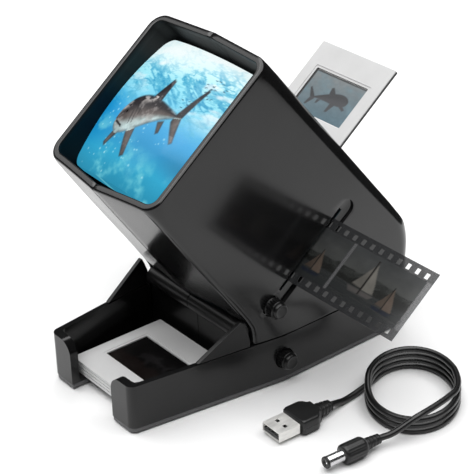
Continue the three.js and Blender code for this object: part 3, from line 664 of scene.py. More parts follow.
usb_grip = rounded_stack("usb_grip", usb_outline,
                         [(-3.78, 1.3), (-3.45, 0.55), (-2.6, 0.08), (-0.12, 0.0), (0, 0.12), (0.12, 0.0), (2.6, 0.08), (3.45, 0.55), (3.78, 1.3)], USB, grip_black)
smooth(usb_grip, 38)
usb_relief = strain_relief("usb_strain_relief", USB, 24.7, 33.0, 3.7, 2.9, 2.5, 2.2, 4, grip_black, 3.0)
smooth(usb_relief, 50, False)

dc_barrel = lathe("dc_barrel", [(8.9, 0), (8.9, 2.58), (1.45, 2.58), (1.25, 2.45), (1.25, 1.35), (1.45, 1.22), (7.4, 1.22), (7.4, 0)], DC, 40, steel)
smooth(dc_barrel, 40)
dc_tip = lathe("dc_tip", [(1.2, 1.3), (1.2, 2.5), (1.0, 2.72), (0.25, 2.72), (0.02, 2.5), (0.02, 1.45), (0.2, 1.28), (1.2, 1.3)], DC, 40, grip_black)
smooth(dc_tip, 40)


def flutes(along, r, t):
    return r - (0.18 * max(0.0, math.cos(16 * t)) if 10.6 < along < 19.4 and r > 4 else 0.0)


dc_grip = lathe("dc_grip", [(9.15, 0), (9.15, 3.5), (9.5, 3.95), (10.0, 4.35), (10.7, 4.48), (12, 4.48), (14, 4.48), (16, 4.48), (18, 4.48), (19.3, 4.48), (19.9, 4.3),
                            (20.7, 3.8), (21.1, 3.3), (21.5, 3.0), (21.5, 0)], DC, 64, grip_black, flutes)
smooth(dc_grip, 40)
dc_relief = strain_relief("dc_strain_relief", DC, 21.4, 29.0, 2.85, 2.85, 2.25, 2.25, 4, grip_black, 2.0)
smooth(dc_relief, 50, False)

give(lead, "viewer", "cord_black", "cord_usb_tail", "cord_coil", "cord_dc_tail")
give(shell, "viewer", "steel", "usb_plug_shell")
give(tongue, "viewer", "steel")
give(usb_pins, "viewer", "steel")
give(usb_grip, "viewer", "cord_black", "usb_plug_grip")
give(usb_relief, "viewer", "cord_black")
give(dc_barrel, "viewer", "steel", "dc_plug_barrel")
give(dc_tip, "viewer", "cord_black", "dc_plug_tip")
give(dc_grip, "viewer", "cord_black", "dc_plug_grip")
give(dc_relief, "viewer", "cord_black")
tuple(M(lead_route[0]))

# ------------------------------------------------------------------ hood shells


def pchip(xk, yk, x):
    xk, yk = np.asarray(xk, float), np.asarray(yk, float)
    h, d = np.diff(xk), np.diff(yk) / np.diff(xk)
    m = np.zeros_like(yk)
    for i in range(1, len(xk) - 1):
        if d[i - 1] * d[i] > 0:
            w1, w2 = 2 * h[i] + h[i - 1], h[i] + 2 * h[i - 1]
            m[i] = (w1 + w2) / (w1 / d[i - 1] + w2 / d[i])
    m[0], m[-1] = d[0], d[-1]
    i = np.clip(np.searchsorted(xk, x) - 1, 0, len(xk) - 2)
    t = (x - xk[i]) / h[i]
    return ((1 + 2 * t) * (1 - t) ** 2 * yk[i] + t * (1 - t) ** 2 * h[i] * m[i]
            + t * t * (3 - 2 * t) * yk[i + 1] + t * t * (t - 1) * h[i] * m[i + 1])


EDGE_A = np.array([at(-38.2, MOUTH), at(-40.8, 50), at(-43.4, 9.5), (59.4, 36.4), (61.2, 32.6), (61.8, 29), (61.9, 25.1)])
EDGE_B = np.array([at(42.9, MOUTH), at(43.2, 30), at(43.4, -12), (150.8, 61.8), (156.4, 53.5), (158.3, 44), (157, 25.1)])
W_A = [38.85, 39.1, 39.4, 39.55, 39.65, 39.7, 39.7]
W_K = [38.85, 40, 41.2, 41.6, 41.8, 41.9, 42]
W_B = [38.85, 39.9, 40.9, 41.1, 41.2, 41.25, 41.3]
STATION = np.concatenate([[0], np.cumsum((np.hypot(*np.diff(EDGE_A, axis=0).T) + np.hypot(*np.diff(EDGE_B, axis=0).T)) / 2)])
T_END = STATION[-1]


def section(t, inset, x0=0.22):
    """Half of the hood's outline at distance t below the mouth, from the front ridge round to the top ridge."""
    A = np.array([pchip(STATION, EDGE_A[:, k], t) for k in (0, 1)])
    B = np.array([pchip(STATION, EDGE_B[:, k], t) for k in (0, 1)])
    wA, wK, wB = (pchip(STATION, w, t) - inset for w in (W_A, W_K, W_B))
    rt = pchip(STATION, [1.6, 1.6, 1.6, 1.6, 0.6, 0.6, 0.6], t)
    rf = 3.2
    r = max(0.6, pchip(np.concatenate([[0, 9], STATION[1:]]), [8, 6.8, 6.8, 6.8, 6.8, 7.5, 8, 8], t) - inset)
    ra = max(0.6, pchip(np.concatenate([[0, 7], STATION[1:]]), [8, 5, 3.0, 2.7, 2.7, 2.7, 2.9, 3.0], t) - inset)
    length = np.hypot(*(B - A))
    d = (B - A) / length
    lo, hi = inset, length - inset
    pts = []
    for k in range(9):
        x = x0 + (wA - ra - x0) * k / 9
        pts.append((x, lo - rf * (1 - x / (wA - ra)) ** 1.12))
    for k in range(11):
        a = -math.pi / 2 + math.pi / 2 * k / 10
        pts.append((wA - ra + ra * math.cos(a), lo + ra + ra * math.sin(a)))
    uk = lo + ra + 20
    for k in range(1, 7):
        s = k / 6
        pts.append((wA + (wK - wA) * s * (2 - s), lo + ra + (uk - lo - ra) * s))
    u1 = hi - r
    for k in range(1, 16):
        s = k / 16
        pts.append((wK + (wB - wK) * s, uk + (u1 - uk) * s))
    for k in range(11):
        a = math.pi / 2 * k / 10
        pts.append((wB - r + r * math.cos(a), hi - r + r * math.sin(a)))
    for k in range(1, 10):
        x = (wB - r) + (x0 - wB + r) * k / 9
        pts.append((x, hi + rt * (1 - x / (wB - r))))
    return np.array([(x, A[0] + d[0] * u, A[1] + d[1] * u) for x, u in pts])


def hood_half(name, sign):
    stations = list(np.concatenate([np.linspace(1.0, STATION[2], 24), np.linspace(STATION[2], T_END, 30)[1:]]))
    outer = [(t, 0.0) for t in stations[:-1]] + [(T_END - 0.8, 0.0), (T_END - 0.4, 0.12), (T_END - 0.1, 0.45), (T_END, 0.85)]
    rim = [(0.0, 2.75), (0.0, 1.9), (0.0, 1.0), (0.08, 0.66), (0.3, 0.3), (0.62, 0.08), (0.85, 0.01)]
    inner_rim = [(0.0, 2.75), (0.07, 3.0), (0.28, 3.2), (0.7, 3.3), (2.2, 3.25), (3.4, 2.9), (4.6, 2.5)]
    inner = [(t, 2.4) for t in stations[3:-1]] + [(T_END - 0.3, 2.4), (T_END, 2.1)]
    loop = [section(t, i, 0.08 if t < 0.9 else 0.2) for t, i in rim + outer] + [section(t, i, 0.08 if t < 1.0 else -0.08) for t, i in reversed(inner_rim[1:] + inner)]
    n, m = len(loop), len(loop[0])
    v = np.concatenate(loop)
    v[:, 0] *= sign
    f = []
    for i in range(n):
        j = (i + 1) % n
        f += [(i * m + k, i * m + k + 1, j * m + k + 1, j * m + k) for k in range(m - 1)]
    # the two long edges along the centre seam
    no, ni = len(rim) + len(outer), len(inner_rim) - 1 + len(inner)
    for k in (0, m - 1):
        a, b = 0, n - 1
        col = [i * m + k for i in range(n)]
        lo, hi = 0, n - 1
        # pair outer and inner stations from the rim down
        out_ids, in_ids = col[:no], col[no:][::-1]
        in_ids = [col[0]] + in_ids
        i = j = 0
        while i < len(out_ids) - 1 or j < len(in_ids) - 1:
            if i < len(out_ids) - 1 and (j == len(in_ids) - 1 or i / (len(out_ids) - 1) <= j / (len(in_ids) - 1)):
                tri = (out_ids[i], out_ids[i + 1], in_ids[j])
                i += 1
            else:
                tri = (out_ids[i], in_ids[j + 1], in_ids[j])
                j += 1
            if len(set(tri)) == 3:
                f.append(tri)
    return raw(name, M(v), f, body_black)


def stadium(half, centre, r, n=14):
    pts = []
    for k in range(n + 1):
        a = math.pi * k / n
        pts.append((half[1] + r * math.sin(a), centre + r * math.cos(a)))
    for k in range(n + 1):
        a = math.pi * k / n
        pts.append((half[0] - r * math.sin(a), centre - r * math.cos(a)))
    return pts


def prism_lx(name, outline, x0, x1):
    """Outline in the optical u, w plane swept across x."""
    return prism(name, outline, x0, x1, lambda a, b, c: tuple(L(c, a, b)))


def across_x(x, p, q, y, z):
    return (x, y + p, z + q)


SCREWS = [at(35.2, -20), at(-33.8, 42), at(33.6, 52)]
KNOB_Y, KNOB_Z = at(-30.8, -1.8)
for name, sign in (("hood_right_shell", 1), ("hood_left_shell", -1)):
    hood = hood_half(name, sign)
    tools = [box_l("c", -50, 50, -22.9, 22.9, -1.2, 1.2),
             prism_w("c", rect(-26, 26, 34, 50), SLIDE_PLANE - 1.7, SLIDE_PLANE + 1.7),
             box("c", -37, 37, 50, 64.5, 18, 37.4),
             box("c", -26.5, 26.5, 50, 64.5, 36, 39.6)]
    if sign > 0:
        tools.append(prism_lx("c", stadium((-30.8, 25.0), -1.8, 4.0), 39.55, 46))
        tools.append(lathe("c", [(36, 0), (36, 2.4), (39, 2.4), (39, 5.0), (50, 5.0), (50, 0)], lambda x, p, q: across_x(x, p, q, KNOB_Y, KNOB_Z), 40))
    else:
        tools.append(prism_lx("c", stadium((-22.8, 22.8), 0, 2.2), -46, -40.3))
        for y, z in SCREWS:
            tools.append(lathe("c", [(-50, 0), (-50, 3.0), (-37.2, 3.0), (-37.2, 0)], lambda x, p, q, y=y, z=z: across_x(x, p, q, y, z), 24))
    boolean(hood, tools)
    hood = bevel(hood, 0.18, 2, 55)
    # the inside walls are left matt
    hood.data.materials.append(inner_black)
    for f in hood.data.polygons:
        y, z = f.center[1] * 1000 + Y_CENTRE - GATE_Y, f.center[2] * 1000 - GATE_Z
        u, w = y * CT + z * ST, -y * ST + z * CT
        nu = f.normal[1] * CT + f.normal[2] * ST
        pocket = sign > 0 and f.center[0] > 0.0388 and abs(f.normal[0]) < 0.7 and -36.5 < u < 29.8 and -7 < w < 2.6
        if pocket:
            f.material_index = 1
        if 5 < w < MOUTH - 0.06 and (f.normal[0] * sign < -0.3 or nu * np.sign(u) < -0.3):
            f.material_index = 1
    smooth(hood, 32, False)
    give(hood, "viewer", "black_gloss", "hood_right" if sign > 0 else "hood_left")

# ------------------------------------------------------------------ base tub


def half_width(y):
    k = 30.85 + 0.143 * 78
    return 30.85 + 0.143 * y if y < 78 else k + (41.3 - k) * (y - 78) / (BASE_LENGTH - 78)


def base_outline(inset, y0=0.0, y1=BASE_LENGTH, rf=4.0, rr=7.0, n=8):
    pts = []
    a0, a1 = y0 + inset, y1 - inset
    side = lambda y: half_width(y) - inset
    rf, rr = max(0.8, rf - inset), max(0.8, rr - inset)

    def arc(cx, cy, r, start):
        for k in range(n + 1):
            a = math.radians(start + 90 * k / n)
            pts.append((cx + r * math.cos(a), cy + r * math.sin(a)))
    arc(side(a0 + rf) - rf, a0 + rf, rf, -90)
    if a0 < 76:
        for y in (76.6, 77.4, 78.6, 79.4):
            soften = 0.035 if y in (77.4, 78.6) else 0.0
            pts.append((side(y) - soften, y))
    arc(side(a1 - rr) - rr, a1 - rr, rr, 0)
    return pts + [(-x, y) for x, y in reversed(pts)]


tub = prism_z("base_tub", base_outline(0), 3.05, BASE_TOP, tub_black)
w4, w62 = half_width(4.2) - 2.4, half_width(62) - 2.4
tray_cut = prism_z("c", [(w4 - 2.5, 4.2), (w4 - 0.9, 4.6), (w4, 6.6), (w62, 62.6), (-w62, 62.6), (-w4, 6.6), (-w4 + 0.9, 4.6), (-w4 + 2.5, 4.2)], 4.3, 40)
bay_cut = prism_z("c", base_outline(2.4, 62.2), 2, 40)
link_cut = box("c", -w62, w62, 62, 66, 4.3, 40)
notch_cut = prism_x("c", [(-2, -1), (10.5, -1), (10.5, 12), (4.7, 40), (-2, 40)], -16, 16)
shoulders = []
for s in (1, -1):
    pts = [(15, 26), (23, 26)] + [(23 + 7 * math.cos(a), 17.8 + 7 * math.sin(a)) for a in np.linspace(math.pi / 2, math.pi, 10)] + [(15, 17.8)]
    shoulders.append(prism("c", [(s * a, b) for a, b in pts], -2, 5.2, lambda a, b, c: (a, c, b)))
jack_hole = lathe("c", [(150, 0), (150, 3.6), (160, 3.6), (160, 0)], lambda y, p, q: (-20 + p, y, 12 + q), 32)
power_hole = lathe("c", [(37, 0), (37, 5), (45, 5), (45, 0)], lambda x, p, q: across_x(x, p, q, 78, 12.8), 40)
boolean(tub, [tray_cut, bay_cut, link_cut, notch_cut] + shoulders + [jack_hole, power_hole])
tub = bevel(tub, 0.75, 3, 50)
smooth(tub, 32)
give(tub, "viewer", "black_gloss", "base_shell")

under = prism_z("under_plate", base_outline(0.35), 0.85, 2.85, plate_grey_painted_reflection)
cuts = [box("c", -16, 16, -2, 10.5, 0, 5), box("c", -27.5, 27.5, 88, 160, 0, 5)]
for x, y in ((24, 9), (-24, 9), (34.5, 133), (-34.5, 133)):
    cuts.append(lathe("c", [(-1, 0), (-1, 4.3), (1.9, 4.3), (1.9, 0)], lambda z, p, q, x=x, y=y: (x + p, y + q, z), 24))
for x, y in ((33, 92), (-33, 92), (33, 147), (-33, 147)):
    cuts.append(lathe("c", [(-1, 0), (-1, 3.1), (2.3, 3.1), (2.3, 1.6), (5, 1.6), (5, 0)], lambda z, p, q, x=x, y=y: (x + p, y + q, z), 20))
boolean(under, cuts)
under = bevel(under, 0.3, 2, 50)
smooth(under, 32)
give(under, "viewer", "black_gloss", "bottom_plate")

# ------------------------------------------------------------------ chute: cheeks, rounded bar, back panel


def round_corner(pts, i, r, n=6):
    """Replaces corner i of an outline by an arc."""
    p0, p1, p2 = (np.array(pts[k % len(pts)], float) for k in (i - 1, i, i + 1))
    a, b = (p0 - p1) / np.linalg.norm(p0 - p1), (p2 - p1) / np.linalg.norm(p2 - p1)
    half = math.acos(np.clip(a @ b, -1, 1)) / 2
    cut = r / math.tan(half)
    centre = p1 + (a + b) / np.linalg.norm(a + b) * r / math.sin(half)
    s, e = p1 + a * cut, p1 + b * cut
    out = []
    for k in range(n + 1):
        q = s + (e - s) * k / n
        d = q - centre
        out.append(tuple(centre + d / np.linalg.norm(d) * r))
    return pts[:i] + out + pts[i + 1:]


cheek_pts = [(33.5, 25.15), (56.3, 39.6), (57.9, 35.9), (59.4, 32.0), (60.1, 28.5), (60.2, 25.15)]
cheek_pts = round_corner(cheek_pts, 3, 9, 4)
cheek_pts = round_corner(cheek_pts, 2, 9, 4)
cheek_pts = round_corner(cheek_pts, 1, 1.0, 6)
for name, sign in (("chute_right_half", 1), ("chute_left_half", -1)):
    cheek = prism("cheek", cheek_pts, 0, 2.4, lambda a, b, c: (sign * (half_width(a) - 2.4 + c), a, b), chute_black)
    cheek = bevel(cheek, 0.45, 3, 50)
    arc = [(59.8 + 5 * math.cos(a), 32 + 5 * math.sin(a)) for a in np.linspace(math.pi * 0.38, math.pi * 1.36, 22)]
    bar = bevel(prism_x("bar", arc + [(62.4, 27.2), (62.4, 35.5)], sign * 0.12, 36.9 if sign > 0 else -31.5, chute_black), 0.15, 1, 70)
    panel = bevel(prism_x("panel", rect(60.6, 62.3, 4.6, 33), sign * 0.12, sign * 36.3, chute_black), 0.2, 2, 60)
    foot = prism_x("foot", rect(58, 62.3, 25.3, 31), sign * 34.5, sign * 36.9, chute_black)
    chute = join_meshes(name, [cheek, bar, panel, foot])
    fix_normals(chute)
    smooth(chute, 32)
    give(chute, "viewer", "black_gloss", "chute_right" if sign > 0 else "chute_left")

# ------------------------------------------------------------------ magnifier lens with the enlarged picture


def underwater(a, b):
    """A generic sunlit sea with one plain fish; a, b run from -1 to 1 across and up."""
    swell = 0.16 * (fbm(a * 1.6, b * 2.4, 4) - 0.5)
    v = b + swell
    stops = [-1.05, -0.70, -0.42, -0.15, 0.12, 0.45, 0.75, 1.05]
    tint = [(0.17, 0.55, 0.68), (0.22, 0.66, 0.81), (0.22, 0.60, 0.80), (0.31, 0.68, 0.89), (0.50, 0.84, 0.95), (0.64, 0.92, 0.97), (0.82, 0.98, 1.0), (0.93, 1.0, 1.0)]
    col = np.stack([np.interp(v, stops, [t[k] for t in tint]) for k in range(3)], -1)
    col = lerp(col, (0.05, 0.54, 0.78), step(0.45, 1.05, -a) * step(-0.95, -0.35, v) * (1 - step(-0.1, 0.25, v)) * 0.8)
    col = lerp(col, (0.24, 0.52, 0.66), step(0.25, 0.9, a) * (1 - step(-0.5, -0.15, v)) * step(-0.7, -0.45, v) * 0.7)
    # light patches and drifting cloud in the lower left
    cloud = step(0.46, 0.74, fbm(a * 4.5, b * 4.5, 15, 5))
    col = lerp(col, (0.50, 0.84, 0.88), cloud * (1 - step(-0.72, -0.30, b + 0.25 * a)) * 0.7)
    # rippled underside of the surface: long streaks that lie across the picture
    for k, (f, power, tone, reach) in enumerate([(6.0, 1.0, (0.25, 0.63, 0.79), 0.10), (10.0, 0.9, (0.33, 0.70, 0.83), 0.05), (17.0, 0.7, (0.45, 0.78, 0.88), 0.0)]):
        w = fbm(a * f * 0.36 + 0.3 * b, b * f + 1.1 * np.sin(a * 2.2 + k) + a * 0.8, 60 + k, 4)
        dark = 1 - step(0.01, 0.075, np.abs(w - 0.5))
        col = lerp(col, tone, dark * step(reach - 0.25, reach + 0.25, b) * (1 - 0.75 * step(0.5, 0.95, b - 0.2 * a)) * power)
    w = fbm(a * 1.7, b * 4.6 - a * 0.9, 71, 4)
    col = lerp(col, (0.99, 1.0, 1.0), step(0.52, 0.66, w) * step(-0.02, 0.45, b + 0.12 * a) * 0.75)
    col = lerp(col, (0.96, 1.0, 1.0), step(0.55, 0.95, b - 0.05 * np.sin(a * 5) - 0.15 * a) * 0.7)
    # bubbles
    rng = np.random.default_rng(5)
    for _ in range(60):
        cx, cy = rng.normal(-0.35, 0.38), rng.normal(-0.42, 0.28)
        r = rng.uniform(0.006, 0.015)
        d = np.hypot(a - cx, b - cy)
        col = lerp(col, (0.80, 0.97, 0.98), (1 - step(r * 0.6, r * 1.6, d)) * 0.5)
    # far-off shoal
    for k in range(26):
        cx, cy = 0.30 + rng.normal(0, 0.13) + 0.010 * k, 0.22 + 0.020 * k + rng.normal(0, 0.05)
        t = rng.uniform(-0.3, 1.0)
        px, py = (a - cx) * math.cos(t) + (b - cy) * math.sin(t), -(a - cx) * math.sin(t) + (b - cy) * math.cos(t)
        col = lerp(col, (0.10, 0.24, 0.34), (1 - step(0.4, 1.1, np.hypot(px / 0.028, py / 0.008))) * 0.8)
    # main fish, nose to the left
    ang = math.radians(-9)
    px, py = (a + 0.17) / 0.48, (b + 0.10) / 0.92
    qx, qy = px * math.cos(ang) - py * math.sin(ang), px * math.sin(ang) + py * math.cos(ang)
    d, h = fish(qx, qy)
    body = 1 - step(-0.02, 0.025, d)
    skin = lerp((0.40, 0.37, 0.36), (0.20, 0.19, 0.20), step(-0.1, 0.6, h))
    skin = lerp(skin, (0.72, 0.80, 0.80), step(0.05, 0.7, -h) * (np.abs(h) < 1.05))
    light = step(0.30, 0.9, h) * (np.abs(h) < 1.1)
    skin = lerp(skin, (0.86, 0.84, 0.82), light * step(0.50, 0.66, fbm(a * 7, b * 11, 21)) * 0.9)
    skin = lerp(skin, (0.72, 0.70, 0.69), step(0.56, 0.7, fbm(a * 9, b * 9, 27)) * 0.45)
    skin = skin * (0.72 + 0.5 * fbm(a * 14, b * 14, 13)[..., None])
    gills = step(0.55, 0.9, np.cos((qx + 0.40 + 0.1 * h) * 62)) * (np.abs(qx + 0.40) < 0.12) * (np.abs(h + 0.05) < 0.5)
    skin = lerp(skin, (0.10, 0.10, 0.12), gills * 0.55)
    eye = 1 - step(0.018, 0.034, np.hypot(qx + 0.74, (qy - 0.07) * 1.2))
    skin = lerp(skin, (0.01, 0.012, 0.015), eye)
    mouth = 1 - step(0.008, 0.024, np.abs(qy + 0.12 + 0.3 * (qx + 0.8)))
    skin = lerp(skin, (0.10, 0.10, 0.11), mouth * (qx < -0.64) * (qx > -0.95) * 0.85)
    edge = step(-0.06, 0.0, d)
    skin = lerp(skin, (0.12, 0.20, 0.26), edge * 0.45)
    col = lerp(col, skin, body)
    return np.clip(col, 0, 1)


def linear(c):
    c = np.clip(c, 0, 1)
    return np.where(c <= 0.04045, c / 12.92, ((c + 0.055) / 1.055) ** 2.4)


def rounded_square(n, half, r):
    s = np.linspace(-1, 1, n)
    X, Y = np.meshgrid(s * half, s * half, indexing="ij")
    k = half - r
    vx, vy = np.maximum(np.abs(X) - k, 0), np.maximum(np.abs(Y) - k, 0)
    both = (vx > 0) & (vy > 0)
    d = np.hypot(vx, vy)
    f = np.where(both, np.maximum(vx, vy) / np.maximum(d, 1e-9), 1)
    X = np.where(both, np.sign(X) * (k + vx * f), X)
    Y = np.where(both, np.sign(Y) * (k + vy * f), Y)
    return X, Y


N = 190
X, Y = rounded_square(N, 35.65, 5.0)
R = 130.0
front = 85.25 - (R - np.sqrt(R * R - X ** 2 - Y ** 2))
rear = 63.35 + (R - np.sqrt(R * R - X ** 2 - Y ** 2))
lens = grid_solid("lens_body", M(L(X, Y + 2.0, front)), M(L(X, Y + 2.0, rear)), lens_mat)
fix_normals(lens)
picture = linear(underwater(X / 35.65, Y / 35.65))
rgba = np.concatenate([np.concatenate([picture.reshape(-1, 3), np.ones((N * N, 1))], 1)] * 2)
paint(lens, rgba)
smooth(lens, 50, False)
give(lens, "viewer", "lens_clear", "magnifier_lens")

# ------------------------------------------------------------------ knobs


def knurl(x0, x1, ribs, depth):
    def shape(x, r, t):
        return r - (depth * (0.5 - 0.5 * math.cos(ribs * t)) if x0 <= x <= x1 and r > 3.9 else 0.0)
    return shape


def knob(name, x0, y, z):
    prof = [(x0, 0), (x0, 3.9), (x0 + 0.3, 4.35), (x0 + 1.0, 4.45), (x0 + 1.3, 4.2), (x0 + 1.6, 4.45), (42.0, 4.5), (43.0, 4.5), (43.9, 4.5), (44.6, 4.5),
            (45.0, 4.42), (45.3, 4.2), (45.5, 3.9), (45.8, 3.95), (46.4, 3.75), (46.9, 3.5), (47.15, 3.3), (47.22, 3.05), (47.12, 2.8), (46.95, 2.3), (46.9, 1.2), (46.9, 0)]
    k = lathe(name, prof, lambda x, p, q: across_x(x, p, q, y, z), 96, knob_black, knurl(x0 + 1.7, 44.8, 22, 0.42))
    return smooth(k, 42, False)


release = knob("release_knob_head", 39.75, KNOB_Y, KNOB_Z)
shaft = lathe("shaft", [(25, 0), (25, 2), (26.2, 2), (26.2, 3.4), (27.6, 3.4), (27.6, 2), (40, 2), (40, 0)], lambda x, p, q: across_x(x, p, q, KNOB_Y, KNOB_Z), 32, knob_black)
arm = bevel(box_l("arm", 24.4, 26.5, -33.4, -25.6, -5.0, SLIDE_PLANE + 1.1, knob_black), 0.3)
finger = bevel(box_l("finger", 19.6, 25, -28.4, -25.6, SLIDE_PLANE - 1.1, SLIDE_PLANE + 1.1, knob_black), 0.3)
release = join_meshes("release_knob_piece", [release, shaft, arm, finger])
smooth(release, 42, False)
give(release, "release", "knob_black", "release_knob")
power = knob("power_head", 38.9, 78, 12.8)
stem = lathe("stem", [(33.9, 0), (33.9, 2), (39.2, 2), (39.2, 0)], lambda x, p, q: across_x(x, p, q, 78, 12.8), 32, knob_black)
power = join_meshes("power_button_piece", [power, stem])
smooth(power, 42, False)
give(power, "power", "knob_black", "power_button")

# ------------------------------------------------------------------ film strip with real perforations


def plate_with_holes(name, xs, us, solid, w0, w1, place, mat):
    """A sheet on grid lines; cells where solid is False are open."""
    n, m = len(xs), len(us)
    X, U = np.meshgrid(xs, us, indexing="ij")
    v = np.concatenate([M(place(X, U, w1)).reshape(-1, 3), M(place(X, U, w0)).reshape(-1, 3)])
    idx = np.arange(n * m).reshape(n, m)
    f = []
    for i in range(n - 1):
        for j in range(m - 1):
            if not solid[i, j]:
                continue
            a, b, c, d = idx[i, j], idx[i + 1, j], idx[i + 1, j + 1], idx[i, j + 1]
            f.append((a, b, c, d))
            f.append((a + n * m, d + n * m, c + n * m, b + n * m))
            for (p, q), (ii, jj) in (((a, b), (i, j - 1)), ((b, c), (i + 1, j)), ((c, d), (i, j + 1)), ((d, a), (i - 1, j))):
                if not (0 <= ii < n - 1 and 0 <= jj < m - 1) or not solid[ii, jj]:
                    f.append((p, p + n * m, q + n * m, q))
    used = sorted({i for q in f for i in q})
    remap = {o: k for k, o in enumerate(used)}
    me = bpy.data.meshes.new(name)
    me.from_pydata(v[used].tolist(), [], [tuple(remap[i] for i in q) for q in f])
    me.update()
    me.materials.append(mat)
    o = link(bpy.data.objects.new(name, me))
    fix_normals(o)
    keep = np.array(used) % (n * m)
    return o, X.ravel()[keep], U.ravel()[keep]


def scenery(a, b, seed):
    """Generic dim landscapes with a pair of sailing boats. a from 0 to 1 across, b from 0 to 1 up."""
    rng = np.random.default_rng(seed)
    col = lerp((0.33, 0.335, 0.31), (0.22, 0.23, 0.235), b)
    col = col * (0.85 + 0.3 * fbm(a * 5, b * 5, seed)[..., None])
    tones = [((0.17, 0.18, 0.17), 0.60, 2.0), ((0.12, 0.125, 0.115), 0.44, 3.5)]
    for k, (tone, level, freq) in enumerate(tones):
        line = level + 0.17 * (fbm(a * freq, a * 0 + k, seed + k) - 0.5) * 2
        shade = np.array(tone) * (0.7 + 0.6 * fbm(a * 16, b * 16, seed + 3 * k)[..., None])
        col = lerp(col, shade, step(0.0, 0.03, line - b))
    water = lerp((0.20, 0.205, 0.20), (0.13, 0.15, 0.16), fbm(a * 4, b * 40, seed + 8))
    col = lerp(col, water, step(-0.01, 0.01, 0.30 - b))
    for k, (cx, cy, size) in enumerate(((0.30 + 0.1 * rng.random(), 0.20, 0.62), (0.68 + 0.08 * rng.random(), 0.10, 0.46))):
        x, y = (a - cx) * 1.55 / size, (b - cy) / size
        main = polygon_distance(x, y, [(0.02, 0.16), (0.02, 1.12), (0.10, 0.9), (0.30, 0.5), (0.42, 0.18)])
        jib = polygon_distance(x, y, [(-0.03, 0.2), (-0.03, 0.98), (-0.2, 0.55), (-0.36, 0.22)])
        hull = polygon_distance(x, y, [(-0.46, 0.12), (0.48, 0.13), (0.36, 0.0), (-0.34, -0.02)])
        cloth = np.array((0.44, 0.42, 0.38) if k == 0 else (0.37, 0.29, 0.23)) * (0.85 + 0.3 * fbm(a * 9 + b * 3, b * 3, seed + 4)[..., None])
        col = lerp(col, cloth, 1 - step(-0.015, 0.015, main))
        col = lerp(col, cloth * 0.82, 1 - step(-0.015, 0.015, jib))
        col = lerp(col, (0.30, 0.28, 0.27) if k == 0 else (0.10, 0.13, 0.20), 1 - step(-0.015, 0.015, hull))
        mast = np.maximum(np.abs(x) - 0.014, np.maximum(y - 1.16, -y))
        col = lerp(col, (0.08, 0.07, 0.06), 1 - step(-0.005, 0.012, mast))
    return col


HALF = 106.95
FRAME_PITCH = 44.8
STEP_X = FRAME_PITCH / 80.0
xs = np.arange(-192, 193) * STEP_X
xs = xs[(xs > -HALF + 0.2) & (xs < HALF - 0.2)]
xs = np.concatenate([[-HALF], xs, [HALF]])
side = np.array([12.0, 12.35, 12.9, 13.6, 14.3, 15.0, 15.6, 16.4, 17.45])
us = np.concatenate([-side[::-1], np.linspace(-12, 12, 49)[1:-1], side])
cx = (xs[:-1] + xs[1:]) / 2
cu = np.abs((us[:-1] + us[1:]) / 2)
# film is laid so that one frame line falls 60 mm out from the middle
phase = np.floor(((cx - 60.0) / STEP_X) % 10)
punched = (phase >= 3) & (phase < 7)
in_row = (cu > 12.9) & (cu < 15.6)
solid = ~(punched[:, None] & in_row[None, :])
solid[0], solid[-1] = True, True
strip, fx, fu = plate_with_holes("film_strip_sheet", xs, us, solid, -0.125, 0.125, L, film_mat)
along = (fx - 60.0) / FRAME_PITCH
number = np.floor(along).astype(int)
a = along - number
inside = (np.abs(fu) < 12.05) & (a > 0.022) & (a < 0.978) & (np.abs(fx) < 105.2)
col = np.tile(np.array([0.17, 0.173, 0.178]), (len(fx), 1))
col *= (0.92 + 0.16 * fbm(fx * 0.4, fu * 0.4, 2)[:, None])
alpha = np.full(len(fx), 0.74)
for k in np.unique(number):
    sel = inside & (number == k)
    img = scenery((a[sel] - 0.022) / 0.956, (fu[sel] + 12.05) / 24.1, 40 + int(k) * 7)
    grey = img.mean(1, keepdims=True)
    col[sel] = (grey + (img - grey) * 0.55) * 0.92
    alpha[sel] = 0.965
gap_line = (np.abs(fu) < 12.05) & ~inside
col[gap_line] = (0.36, 0.36, 0.365)
alpha[gap_line] = 0.7
paint(strip, np.concatenate([linear(col), alpha[:, None]], 1))
smooth(strip, 40, False)
give(strip, "film", "film_base", "film_strip")

# ------------------------------------------------------------------ slides
MAKE = {}


def slide_mount(name, place, low, half_t, body, node, corner=1.4, step_in=0.22, shade=mount_white):
    """A moulded mount: rounded card, chamfered window, a faint step round it."""
    outer = rect(-24.9, 24.9, -24.9, 24.9, corner, 5)
    o = prism(name, outer, low, half_t, place, shade)
    cuts = [prism("c", rect(-17.5, 17.5, -11.5, 11.5, 0.5, 4), low - 1, half_t + 1, place)]
    if step_in:
        cuts.append(prism("c", rect(-18.7, 18.7, -12.7, 12.7, 0.8, 4), half_t - step_in, half_t + 1, place))
    boolean(o, cuts)
    bevel(o, 0.12, 2, 50)
    smooth(o, 32)
    return give(o, body, "slide_mount", *([node] if node else []))


def chip(name, place, t, body, node, shader, dim=1.0):
    n, m = 100, 66
    s, q = np.linspace(-17.15, 17.15, n), np.linspace(-11.15, 11.15, m)
    A, B = np.meshgrid(s, q, indexing="ij")
    top = M(np.array(place(A, B, t)))
    bottom = M(np.array(place(A, B, -t)))
    o = grid_solid(name, top, bottom, chip_mat)
    fix_normals(o)
    c = linear(shader(A / 17.15, B / 11.15) * dim)
    paint(o, np.concatenate([np.concatenate([c.reshape(-1, 3), np.ones((n * m, 1))], 1)] * 2))
    smooth(o, 40, False)
    return give(o, body, "slide_film", node)


